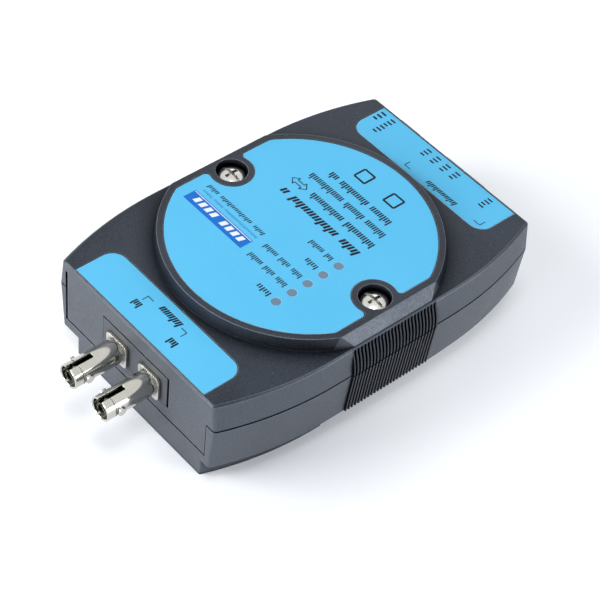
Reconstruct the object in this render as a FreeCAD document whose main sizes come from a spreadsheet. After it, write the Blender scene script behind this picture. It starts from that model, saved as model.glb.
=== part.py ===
import FreeCAD, Part
import math
import os
import re
import Sketcher

App = FreeCAD
doc = App.newDocument("fibre_media_converter")

# ---------------------------------------------------------------------------
# Driving dimensions, millimetres.  The frame's origin is on the resting
# plane under the middle of the case, +Y is towards the fibre ports, +Z is up
# and +X is the reader's right when the top label is read from the rear end.
# ---------------------------------------------------------------------------

SIZES = dict(
    # case, two moulded shells
    case_length=107.8, end_width=61.4, straight_length=39.2,
    upper_side=8.6, lower_side=14.8, upper_flare=1.0, lower_taper=1.3,
    wall=2.2, corner_round=1.2, rim_round=0.5, parting_gap=0.3,
    disc_rise=3.3, disc_radius=37.6, disc_flare=0.9, disc_past=0.7, facet_bite=3.6, facet_lean=2.2,
    # feet and the rail channel between them
    foot_height=5.9, foot_inset=3.2, foot_inset_far=6.4, channel_width=37.8,
    pad_radius=6.4, pad_drop=2.6,
    # ribbed finger grips
    grip_width=28.6, grip_proud=0.55, rib_pitch=1.13, rib_gap=0.6, rib_count=25,
    rib_depth=1.0, grip_crown=0.5,
    # end walls: hanging tongues of the upper shell
    tongue_half=28.4, tongue_top=2.6, tongue_drop=19.9, slit_wide=0.9, slit_narrow=0.3,
    # labels
    label_recess=0.3, film=0.2, film_gap=0.12, label_rim=1.9, label_flank=2.1,
    notch_radius=6.2, label_round=3.0, notch_round=1.3,
    end_label_half=26.0, end_label_outer=0.9, end_label_deep=12.7, end_label_round=4.2,
    # case screws
    screw_inset=3.3, counterbore=4.4, counterbore_deep=3.1, head_radius=3.75,
    head_tall=2.3, shank=1.75, screw_long=17.0, boss_radius=5.6, hole_gap=0.25,
    thread_gap=0.02, driver_slot=0.9, driver_deep=1.0,
    # circuit board
    board_half=27.4, board_reach=50.4, board_thick=1.6, board_top=11.0,
    waist_half=21.6, waist_reach=8.0, post_radius=3.0, board_screw=1.25,
    board_head=2.4, board_head_tall=1.5, board_screw_long=6.5,
    post_x=12.0, post_front=30.0, post_rear=35.0,
    # fibre ports
    port_pitch=13.2, port_axis=17.1, barrel=3.5, barrel_bore=2.9, barrel_long=15.9,
    flange_wide=8.2, flange_tall=7.8, flange_thick=0.9, flange_round=1.3,
    base_long=2.4, port_shank=3.2, shank_long=3.6, seat_gap=0.03,
    keyway=1.7, keyway_long=7.4, mouth_break=0.2, lug_radius=1.15, lug_reach=4.15, lug_back=4.0,
    groove_back=2.5, groove_wide=0.3, groove_deep=0.15,
    sleeve=1.75, sleeve_bore=1.25, sleeve_long=16.8,
    # port insert plate
    insert_half=13.1, insert_low=13.2, insert_high=23.4, insert_gap=0.8,
    insert_fit=0.15, module_wide=12.4, module_tall=10.4, module_deep=13.4,
    leg_width=0.6,
    # modular socket
    jack_x=-18.2, jack_wide=15.9, jack_tall=13.3, jack_deep=16.2, jack_proud=0.4,
    jack_sheet=0.3, plug_wide=11.8, plug_tall=7.0, plug_sill=3.3,
    plug_deep=11.5, tab_wide=6.2, tab_tall=1.7, contact_pitch=1.02, contact_thick=0.35,
    # pluggable screw terminals
    pole_pitch=3.81, power_x=22.4, signal_x=-0.15, header_wall=0.8, header_deep=9.2,
    header_front=0.5, header_tall=7.4, header_sill=1.2,
    plug_play=0.12, mating_long=7.2, block_deep=7.9, block_tall=9.0,
    pin_size=1.0, pin_fit=0.03, opening_fit=0.3, opening_tall=9.5,
    strip_wide=1.8, strip_thick=0.4, strip_level=3.3,
    cage_wide=3.0, cage_deep=3.2, cage_bar=0.7, cage_head=1.2, cage_window=2.3,
    cage_gap=0.15, cage_travel=1.6, ledge=0.5,
    clamp_head=1.4, clamp_head_tall=1.2, clamp_shank=0.9, clamp_slot=0.4,
    shoulder_gap=0.2, strip_gap=0.05, chamber_wall=2.1, cage_clear=0.1, turn_play=0.05,
    head_room=0.3, pin_reach=4.4, wire_wide=2.4, wire_tall=2.0,
    contact_lift=0.9, contact_drop=1.6,
    # parts on the board
    chip_x=4.0, chip_y=14.0, chip_size=14.0, chip_tall=1.4, lead_lift=0.15, lead_reach=0.9,
    lead_pitch=1.27, port_chip_y=10.0, port_chip_size=10.0,
    transformer_y=28.0, transformer_wide=10.9, transformer_deep=8.0, transformer_tall=6.0,
    crystal_x=17.0, crystal_y=2.0, crystal_wide=4.5, crystal_deep=11.0, crystal_tall=3.5,
    inductor_x=8.0, inductor_y=27.0, inductor_size=10.0, inductor_tall=4.0,
    capacitor=4.0, capacitor_tall=10.0, capacitor_x=21.0, capacitor_y=34.0, capacitor_pitch=10.0,
    # status lights
    light_x=-15.0, light_y=0.3, light_pitch=5.24, light_count=5, light_radius=1.3,
    pipe_gap=0.06, carrier_level=24.0, carrier_thick=1.5, lamp_size=2.0, lamp_tall=0.8,
)

# Sizes that follow from those: the case swells to pass under the disc, the
# facets cut the disc's flanks, and the label and screws keep inside them.
FOLLOWING = dict(
    mid_width="2 * (disc_radius - disc_past)",
    facet_top="disc_radius - facet_bite",
    facet_foot="facet_top + facet_lean",
    label_radius="disc_radius - label_rim",
    label_half="facet_top - label_flank",
    screw_reach="label_half - screw_inset",
)

sheet = doc.addObject("Spreadsheet::Sheet", "dims")
for row, (word, size) in enumerate([*SIZES.items(), *FOLLOWING.items()], start=1):
    sheet.set("A%d" % row, word)
    sheet.set("B%d" % row, "=" + str(size))
    sheet.setAlias("B%d" % row, word)
doc.recompute()

# Levels and reaches that several pieces share, as formulas in those words.
SHELL_FOOT = "foot_height"
PARTING = "(foot_height + lower_side)"
LOW_TOP = "(foot_height + lower_side + upper_side)"
DISC_TOP = "(foot_height + lower_side + upper_side + disc_rise)"
END = "(case_length / 2)"
TONGUE_FOOT = "(foot_height + lower_side + upper_side - tongue_drop)"
BOARD_TOP = "board_top"


def formula(text):
    """Point each size word in a formula at its cell in the sheet."""
    def cell(match):
        word = match.group(0)
        return "dims." + word if word in SIZES or word in FOLLOWING else word

    return re.sub(r"[A-Za-z_]\w*", cell, str(text))


def number(text):
    """The present value of a formula."""
    return float(sheet.evalExpression(formula(text)))


def bind(item, **formulas):
    for name, text in formulas.items():
        item.setExpression(name.replace("__", "."), formula(text))
    return item


# ---------------------------------------------------------------------------
# Small modelling words
# ---------------------------------------------------------------------------

# turn, in degrees about an axis, that brings a solid's +Z to the way it points
TURNS = {"+Z": (0, (0, 0, 1)), "+Y": (-90, (1, 0, 0)), "+X": (90, (0, 1, 0))}


def place(item, x="0", y="0", z="0", along="+Z"):
    angle, axis = TURNS[along]
    item.Placement = App.Placement(App.Vector(), App.Rotation(App.Vector(*axis), angle))
    return bind(item, Placement__Base__x=x, Placement__Base__y=y, Placement__Base__z=z)


def block(name, x, y, z):
    """A box given by its low and high formula on each axis."""
    item = doc.addObject("Part::Box", name)
    bind(item, Length="(%s) - (%s)" % (x[1], x[0]), Width="(%s) - (%s)" % (y[1], y[0]),
         Height="(%s) - (%s)" % (z[1], z[0]))
    return place(item, x[0], y[0], z[0])


def span(middle, width):
    """Low and high formula of a width centred on a middle."""
    return "%s - (%s) / 2" % (middle, width), "%s + (%s) / 2" % (middle, width)


def rod(name, radius, length, x="0", y="0", z="0", along="+Z"):
    item = doc.addObject("Part::Cylinder", name)
    bind(item, Radius=radius, Height=length)
    return place(item, x, y, z, along)


def joined(name, shapes):
    item = doc.addObject("Part::MultiFuse", name)
    item.Shapes = shapes
    return item


def cut(name, base, tools):
    item = doc.addObject("Part::Cut", name)
    item.Base = base
    item.Tool = tools[0] if len(tools) == 1 else joined(name + "_tools", tools)
    return item


def group(name, shapes):
    """Separate like solids that are kept as one named piece."""
    item = doc.addObject("Part::Compound", name)
    item.Links = shapes
    return item


def body(name):
    return doc.addObject("PartDesign::Body", name)


def origin_plane(owner, role):
    return [plane for plane in owner.Origin.OriginFeatures if plane.Role == role][0]


def new_sketch(owner, name, plane, level):
    sketch = owner.newObject("Sketcher::SketchObject", name)
    sketch.AttachmentSupport = [(origin_plane(owner, plane), "")]
    sketch.MapMode = "FlatFace"
    return bind(sketch, AttachmentOffset__Base__z=level)


def fix_distance(sketch, kind, geo, pos, text):
    """Tie one coordinate of a sketch point to a formula."""
    value = number(text)
    if abs(value) < 1e-9:
        sketch.addConstraint(Sketcher.Constraint("PointOnObject", geo, pos,
                                                 -2 if kind == "DistanceX" else -1))
        return
    index = sketch.addConstraint(Sketcher.Constraint(kind, -1, 1, geo, pos, value))
    sketch.setExpression("Constraints[%d]" % index, formula(text))


def outline(owner, name, path, level="0", plane="XY_Plane"):
    """Closed sketch.  Each step is (x, y) for a line to that point, or
    (x, y, cx, cy, turn) for an arc about (cx, cy); turn is 1 for
    counter-clockwise and -1 for clockwise."""
    sketch = new_sketch(owner, name, plane, level)
    ends = []
    for index, step in enumerate(path):
        last = path[index - 1]
        start = App.Vector(number(last[0]), number(last[1]), 0)
        stop = App.Vector(number(step[0]), number(step[1]), 0)
        if len(step) == 2:
            sketch.addGeometry(Part.LineSegment(start, stop))
            ends.append((1, 2))
            continue
        centre = App.Vector(number(step[2]), number(step[3]), 0)
        first, second = (start, stop) if step[4] > 0 else (stop, start)
        angles = [math.atan2(p.y - centre.y, p.x - centre.x) for p in (first, second)]
        if angles[1] <= angles[0]:
            angles[1] += 2 * math.pi
        circle = Part.Circle(centre, App.Vector(0, 0, 1), (start - centre).Length)
        sketch.addGeometry(Part.ArcOfCircle(circle, *angles))
        ends.append((1, 2) if step[4] > 0 else (2, 1))
    for index, step in enumerate(path):
        following = (index + 1) % len(path)
        sketch.addConstraint(Sketcher.Constraint("Coincident", index, ends[index][1], following,
                                                 ends[following][0]))
        fix_distance(sketch, "DistanceX", index, ends[index][1], step[0])
        fix_distance(sketch, "DistanceY", index, ends[index][1], step[1])
        if len(step) > 2:
            text = "sqrt((%s - (%s))^2 + (%s - (%s))^2)" % (step[0], step[2], step[1], step[3])
            radius = sketch.addConstraint(Sketcher.Constraint("Radius", index, number(text)))
            sketch.setExpression("Constraints[%d]" % radius, formula(text))
    return sketch


def pad(owner, name, sketch, length, middle=False):
    item = owner.newObject("PartDesign::Pad", name)
    item.Profile = sketch
    if middle:
        item.SideType = "Symmetric"
    return bind(item, Length=length)


def loft(owner, name, first, second):
    item = owner.newObject("PartDesign::AdditiveLoft", name)
    item.Profile = first
    item.Sections = [second]
    item.Ruled = True
    return item


def fillet(owner, name, base, wanted, radius):
    """Round the edges of a feature for which wanted(edge) is true."""
    doc.recompute()
    names = ["Edge%d" % (i + 1) for i, edge in enumerate(base.Shape.Edges) if wanted(edge)]
    item = owner.newObject("PartDesign::Fillet", name)
    item.Base = (base, names)
    return bind(item, Radius=radius)


def upright(edge):
    """An edge that runs from one level to another, leaning no more than a little."""
    a, b = edge.Vertexes[0].Point, edge.Vertexes[-1].Point
    return abs(a.z - b.z) > 0.9 * (a - b).Length > 0


pieces = []


def piece(item, label):
    item.Label = label
    pieces.append(item)
    return item


# ---------------------------------------------------------------------------
# Case outlines.  Straight flanks, then one arc on each quarter that leaves
# the flank tangent and meets the narrower end.
# ---------------------------------------------------------------------------

def case_path(mid, end, reach, corner):
    flank = "(straight_length / 2)"
    run = "(%s - %s)" % (reach, flank)
    bow = "(%s - %s)" % (mid, end)
    radius = "((%s^2 + %s^2) / (2 * %s))" % (run, bow, bow)
    inset = "(%s - %s)" % (radius, mid)
    # the corner's own arc touches the flank arc and the end line
    up = "(%s - %s)" % (run, corner)
    out = "sqrt((%s - %s)^2 - %s^2)" % (radius, corner, up)
    swell = "%s / (%s - %s)" % (radius, radius, corner)
    corner_x, corner_y = "(%s - %s)" % (out, inset), "(%s - %s)" % (reach, corner)
    touch_x, touch_y = "(%s * %s - %s)" % (out, swell, inset), "(%s * %s + %s)" % (up, swell, flank)
    return [
        (mid, "-" + flank, "-" + inset, "-" + flank, 1),
        (mid, flank),
        (touch_x, touch_y, "-" + inset, flank, 1),
        (corner_x, reach, corner_x, corner_y, 1),
        ("-" + corner_x, reach),
        ("-" + touch_x, touch_y, "-" + corner_x, corner_y, 1),
        ("-" + mid, flank, inset, flank, 1),
        ("-" + mid, "-" + flank),
        ("-" + touch_x, "-" + touch_y, inset, "-" + flank, 1),
        ("-" + corner_x, "-" + reach, "-" + corner_x, "-" + corner_y, 1),
        (corner_x, "-" + reach),
        (touch_x, "-" + touch_y, corner_x, "-" + corner_y, 1),
    ]


def case_level(owner, name, level, grow, thin="0"):
    """Case outline at one level; grow is the flare there, thin is the wall inside it."""
    mid = "(mid_width / 2 + %s - %s)" % (grow, thin)
    end = "(end_width / 2 + %s - %s)" % (grow, thin)
    corner = "corner_round" if thin == "0" else "(corner_round / 2)"
    return outline(owner, name, case_path(mid, end, "(case_length / 2 - %s)" % thin, corner), level)


def disc_level(owner, name, level, radius, half):
    """Circle cut straight on both flanks."""
    corner = "sqrt((%s)^2 - (%s)^2)" % (radius, half)
    minus_half, minus_corner = "-(%s)" % half, "-%s" % corner
    path = [
        (half, minus_corner, "0", "0", 1), (half, corner),
        (minus_half, corner, "0", "0", 1), (minus_half, minus_corner),
    ]
    return outline(owner, name, path, level)


# Upper shell -----------------------------------------------------------------

GRIP_FACE = "(mid_width / 2 + upper_flare + grip_proud)"
GRIP_FLOOR = "(mid_width / 2 + upper_flare + grip_proud - rib_depth)"
INNER_GRIP = "(mid_width / 2 - wall / 2)"


def crown_centre(x_low, z_low, x_high, z_high, sagitta):
    """Centre of the arc that joins two points and stands proud of their chord."""
    dx, dz = "((%s) - (%s))" % (x_high, x_low), "((%s) - (%s))" % (z_high, z_low)
    chord = "sqrt(%s^2 + %s^2)" % (dx, dz)
    back = "((%s)^2 / 8 / (%s) - (%s) / 2)" % (chord, sagitta, sagitta)
    cx = "((%s) + (%s)) / 2 - %s * %s / %s" % (x_low, x_high, back, dz, chord)
    cz = "((%s) + (%s)) / 2 + %s * %s / %s" % (z_low, z_high, back, dx, chord)
    return cx, cz


def end_slit(tag, side):
    """Slit that frees one edge of an end wall's hanging tongue from the corner."""
    outer, inner = "%s(case_length / 2 + wall)" % side, "%s(case_length / 2 - 2 * wall)" % side
    y = (outer, inner) if side == "-" else (inner, outer)
    return block(tag + "_slit", ("tongue_half", "tongue_half + slit_wide"), y,
                 ("%s - wall" % PARTING, "%s - tongue_top" % LOW_TOP))


def tongue(tag, side):
    """The part of an end wall that hangs below the parting line."""
    outer, inner = "%scase_length / 2" % side, "%s(case_length / 2 - wall)" % side
    y = (outer, inner) if side == "-" else (inner, outer)
    return block(tag + "_tongue", ("-tongue_half", "tongue_half"), y, (TONGUE_FOOT, "%s + wall" % PARTING))


def case_form(name, levels):
    """Solid that follows the case outline through (level, flare, inset) stations."""
    form = body(name)
    for index in range(len(levels) - 1):
        first = case_level(form, "%s_%da" % (name, index), *levels[index])
        second = case_level(form, "%s_%db" % (name, index), *levels[index + 1])
        loft(form, "%s_sides_%d" % (name, index), first, second)
    return form


RIM = "(%s - rim_round)" % LOW_TOP
upper = case_form("upper_form",
                  [(PARTING, "upper_flare", "0"), (RIM, "0", "0"), (LOW_TOP, "0", "rim_round")])
loft(upper, "disc_sides", disc_level(upper, "disc_foot", LOW_TOP, "disc_radius + disc_flare", "facet_foot"),
     disc_level(upper, "disc_rim", DISC_TOP, "disc_radius", "facet_top"))

# ribbed finger grips, one on each flank, crowned like the ball of a thumb
GRIP_TOP = "(%s - rim_round)" % LOW_TOP
grip_low = (GRIP_FACE, PARTING)
grip_high = ("(facet_foot + rim_round / 2)", GRIP_TOP)
crown_x, crown_z = crown_centre(grip_low[0], grip_low[1], grip_high[0], grip_high[1], "grip_crown")
for side, turn in (("", 1), ("-", -1)):
    profile = [
        (side + INNER_GRIP, GRIP_TOP), (side + INNER_GRIP, PARTING), (side + grip_low[0], grip_low[1]),
        (side + grip_high[0], grip_high[1], side + "(" + crown_x + ")", crown_z, turn),
    ]
    tag = "near" if side else "far"
    pad(upper, tag + "_grip", outline(upper, tag + "_grip_profile", profile, plane="XZ_Plane"),
        "grip_width", middle=True)


OUTSIDE = "(mid_width / 2 + upper_flare + 2 * wall)"


def grooves(owner, tag, floor_low, floor_high, low, high):
    """Rows of grooves across both grips; each has its floor from one level to another."""
    for side in ("", "-"):
        profile = [(side + floor_low, low), (side + OUTSIDE, low), (side + OUTSIDE, high),
                   (side + floor_high, high)]
        name = "%s_%s_groove" % (tag, "near" if side else "far")
        first = "(rib_count - 1) * rib_pitch / 2"
        sketch = outline(owner, name + "_profile", profile, first, "XZ_Plane")
        groove = owner.newObject("PartDesign::Pocket", name)
        groove.Profile = sketch
        groove.SideType = "Symmetric"
        bind(groove, Length="rib_gap")
        doc.recompute()
        rows = owner.newObject("PartDesign::LinearPattern", name + "s")
        rows.Originals = [groove]
        rows.Direction = (origin_plane(owner, "Y_Axis"), [""])
        bind(rows, Length="(rib_count - 1) * rib_pitch", Occurrences="rib_count")
        owner.Tip = rows
        doc.recompute()


grooves(upper, "upper", GRIP_FLOOR, "(facet_foot - rib_gap)", PARTING, GRIP_TOP)

BOSS_MEET = "(foot_height + lower_side - wall)"
SCREWS = ("-screw_reach", "screw_reach")
COUNTERBORE_FLOOR = "(%s - counterbore_deep)" % DISC_TOP


def label_path(radius, half, notch):
    """Round label with straight flanks, each notched round a screw."""
    corner = "sqrt((%s)^2 - (%s)^2)" % (radius, half)
    bite = "sqrt((%s)^2 - (%s - screw_reach)^2)" % (notch, half)
    return [
        (half, "-" + corner, "0", "0", 1), (half, "-" + bite), (half, bite, "screw_reach", "0", -1),
        (half, corner),
        ("-(%s)" % half, corner, "0", "0", 1), ("-(%s)" % half, bite),
        ("-(%s)" % half, "-" + bite, "-screw_reach", "0", -1), ("-(%s)" % half, "-" + corner),
    ]


def label_form(name, grow, low, tall):
    """The round label's solid, or its recess when it is grown."""
    form = body(name)
    path = label_path("(label_radius + %s)" % grow, "(label_half + %s)" % grow,
                      "(notch_radius - %s)" % grow)
    pad(form, name + "_sheet", outline(form, name + "_outline", path, low), tall)
    corner_y = number("sqrt(label_radius^2 - label_half^2)")
    split = (corner_y + number("notch_radius")) / 2
    outer = fillet(form, name + "_corners", form.Tip,
                   lambda e: upright(e) and abs(e.Vertexes[0].Point.y) > split,
                   "label_round")
    fillet(form, name + "_notches", outer, lambda e: upright(e) and abs(e.Vertexes[0].Point.y) < split
           and abs(abs(e.Vertexes[0].Point.x) - number("label_half + %s" % grow)) < 1e-3, "notch_round")
    return form


def end_label_form(name, side, grow, low, tall):
    """Label of one end: square at the case's edge, rounded towards the disc."""
    form = body(name)
    outer = "(case_length / 2 - end_label_outer + %s)" % grow
    inner = "(case_length / 2 - end_label_outer - end_label_deep - %s)" % grow
    half, radius = "(end_label_half + %s)" % grow, "end_label_round"
    bend_x, bend_y = "(%s - %s)" % (half, radius), "(%s + %s)" % (inner, radius)
    path = [
        ("-" + half, outer), ("-" + half, bend_y), ("-" + bend_x, inner, "-" + bend_x, bend_y, 1),
        (bend_x, inner), (half, bend_y, bend_x, bend_y, 1), (half, outer),
    ]
    if side == "-":
        path = [("-(%s)" % step[0], "-(%s)" % step[1]) + (("-(%s)" % step[2], "-(%s)" % step[3], 1)
                if len(step) > 2 else ()) for step in path]
    pad(form, name + "_sheet", outline(form, name + "_outline", path, low), tall)
    return form


# upper shell: hollow, tongues, screw tubes, then every opening
upper_hollow = case_form("upper_hollow",
                         [("%s - wall" % PARTING, "upper_flare", "wall"),
                          ("%s - wall" % LOW_TOP, "0", "wall")])
disc_hollow = doc.addObject("Part::MultiCommon", "disc_hollow")
disc_hollow.Shapes = [
    rod("disc_hollow_round", "disc_radius - wall", "disc_rise + wall", z="%s - 2 * wall" % LOW_TOP),
    block("disc_hollow_flanks", ("-facet_top + wall", "facet_top - wall"), ("-disc_radius", "disc_radius"),
          ("%s - 2 * wall" % LOW_TOP, DISC_TOP)),
]
tubes = [rod("screw_tube_%d" % i, "boss_radius", "%s - wall / 2 - %s" % (DISC_TOP, BOSS_MEET), x,
             z=BOSS_MEET)
         for i, x in enumerate(SCREWS)]
upper_walls = joined("upper_walls", [cut("upper_hollowed", upper, [upper_hollow, disc_hollow])]
                     + [tongue("fibre", ""), tongue("rear", "-")] + tubes)

upper_tools = [end_slit("fibre", ""), end_slit("rear", "-")]
upper_tools += [rod("counterbore_%d" % i, "counterbore", "counterbore_deep + wall", x, z=COUNTERBORE_FLOOR)
                for i, x in enumerate(SCREWS)]
upper_tools += [rod("tube_bore_%d" % i, "shank + hole_gap", "%s - %s + 2 * wall" % (DISC_TOP, BOSS_MEET), x,
                    z="%s - wall" % BOSS_MEET) for i, x in enumerate(SCREWS)]
upper_tools += [rod("light_hole_%d" % i, "light_radius", "4 * wall", "light_x",
                    "light_y + %d * light_pitch" % i,
                    "%s - 3 * wall" % DISC_TOP) for i in range(int(number("light_count")))]
upper_tools += [
    label_form("top_recess", "film_gap", "%s - label_recess" % DISC_TOP, "wall"),
    end_label_form("fibre_recess", "", "film_gap", "%s - label_recess" % LOW_TOP, "wall"),
    end_label_form("rear_recess", "-", "film_gap", "%s - label_recess" % LOW_TOP, "wall"),
    block("insert_window", ("-insert_half - insert_gap", "insert_half + insert_fit"),
          ("%s - 2 * wall" % END, "%s + wall" % END),
          ("insert_low - insert_fit", "insert_high + insert_gap * 0.75")),
]


def rear_window(name, x, width, tall):
    return block(name, span(x, "%s + 2 * opening_fit" % width),
                 ("-%s - wall" % END, "-%s + 2 * wall" % END),
                 ("board_top - opening_fit", "board_top + %s" % tall))


upper_tools += [
    rear_window("jack_window", "jack_x", "jack_wide", "jack_tall + opening_fit"),
    rear_window("power_window", "power_x", "2 * (pole_pitch + header_wall)", "opening_tall"),
    rear_window("signal_window", "signal_x", "2 * (2 * pole_pitch + header_wall)", "opening_tall"),
]
piece(cut("upper_shell_form", upper_walls, upper_tools), "upper_shell")
doc.recompute()

# Lower shell -----------------------------------------------------------------

LOWER_TOP = "(%s - parting_gap)" % PARTING
FOOT_FLARE = "(upper_flare - lower_taper)"
lower = case_form("lower_form", [(SHELL_FOOT, FOOT_FLARE, "0"), (LOWER_TOP, "upper_flare", "0")])
for side in ("", "-"):
    profile = [
        (side + INNER_GRIP, SHELL_FOOT), (side + "(%s - lower_taper)" % GRIP_FACE, SHELL_FOOT),
        (side + GRIP_FACE, LOWER_TOP), (side + INNER_GRIP, LOWER_TOP),
    ]
    tag = "near" if side else "far"
    pad(lower, tag + "_low_grip", outline(lower, tag + "_low_grip_profile", profile, plane="XZ_Plane"),
        "grip_width",
        middle=True)
grooves(lower, "lower", "(%s - lower_taper)" % GRIP_FLOOR, GRIP_FLOOR, SHELL_FOOT, LOWER_TOP)


def foot_form(name, thin, low, high):
    """Both feet: the case outline drawn in, cut across by the rail channel."""
    runner = body(name + "_runner")
    inset = "((foot_inset + foot_inset_far) / 2 + %s)" % thin
    mid = "(mid_width / 2 + %s - %s)" % (FOOT_FLARE, inset)
    end = "(end_width / 2 + %s - %s)" % (FOOT_FLARE, inset)
    path = case_path(mid, end, "(case_length / 2 - %s)" % thin, "(corner_round / 2)")
    pad(runner, name + "_run", outline(runner, name + "_outline", path, low), "(%s) - (%s)" % (high, low))
    bind(runner, Placement__Base__x="(foot_inset - foot_inset_far) / 2")
    channel = block(name + "_channel", ("-mid_width", "mid_width"),
                    span("0", "channel_width + 2 * %s" % thin),
                    ("(%s) - wall" % low, "(%s) + wall" % high))
    return cut(name, runner, [channel])


lower_hollow = case_form("lower_hollow",
                         [("%s + wall" % SHELL_FOOT, FOOT_FLARE, "wall"),
                          ("%s + wall" % PARTING, "upper_flare", "wall")])
foot_hollow = foot_form("foot_hollow", "wall", "wall", "%s + 2 * wall" % SHELL_FOOT)
feet = foot_form("feet", "0", "0", "%s + wall / 2" % SHELL_FOOT)
POSTS = [(x, y) for x in ("-post_x", "post_x") for y in ("post_front", "-post_rear")]
BOARD_FOOT = "(board_top - board_thick)"
posts = [rod("board_post_%d" % i, "post_radius", "%s - wall / 2" % BOARD_FOOT, x, y, "wall / 2")
         for i, (x, y) in enumerate(POSTS)]
pads = [rod("screw_pad_%d" % i, "pad_radius", "pad_drop + wall / 2", x,
            z="%s - pad_drop" % SHELL_FOOT) for i, x in enumerate(SCREWS)]
towers = [rod("screw_tower_%d" % i, "boss_radius - wall / 2",
              "%s - %s - wall / 2" % (BOSS_MEET, SHELL_FOOT), x,
              z="%s + wall / 2" % SHELL_FOOT) for i, x in enumerate(SCREWS)]
lower_walls = joined("lower_walls",
                     [cut("lower_hollowed", joined("lower_outer", [lower, feet]),
                          [lower_hollow, foot_hollow])]
                     + posts + pads + towers)
SCREW_TIP = "(%s - screw_long)" % COUNTERBORE_FLOOR
lower_tools = [rod("tower_bore_%d" % i, "shank + thread_gap", "screw_long", x,
                   z="%s - wall / 2" % SCREW_TIP) for i, x in enumerate(SCREWS)]
lower_tools += [rod("post_bore_%d" % i, "board_screw + thread_gap", BOARD_FOOT, x, y, "wall")
                for i, (x, y) in enumerate(POSTS)]
for side in ("", "-"):
    ends = ("%s(%s - 2 * wall)" % (side, END), "%s(%s + wall)" % (side, END))
    lower_tools.append(block("tongue_way_%s" % ("rear" if side else "fibre"),
                             ("-tongue_half - slit_narrow", "tongue_half + slit_wide"),
                             ends if not side else ends[::-1],
                             ("%s - slit_wide * 0.7" % TONGUE_FOOT, "%s + wall" % PARTING)))
piece(cut("lower_shell_form", lower_walls, lower_tools), "lower_shell")
doc.recompute()

# Fibre ports, their insert and the optical modules -----------------------------

def turned(name, profile, x="0", y="0", z="0", along="+Z"):
    """Solid of revolution from a half section of (radius, height) steps."""
    form = body(name)
    sketch = outline(form, name + "_section", profile, plane="XZ_Plane")
    spin = form.newObject("PartDesign::Revolution", name + "_turn")
    spin.Profile = sketch
    spin.ReferenceAxis = (origin_plane(form, "Z_Axis"), [""])
    spin.Angle = 360
    return place(form, x, y, z, along)


MODULE_FACE = "(%s - wall)" % END
SHANK_END = "(%s - shank_long)" % END
MOUTH = "(%s + barrel_long)" % END
PORTS = (("1", "-port_pitch / 2"), ("2", "port_pitch / 2"))

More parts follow.
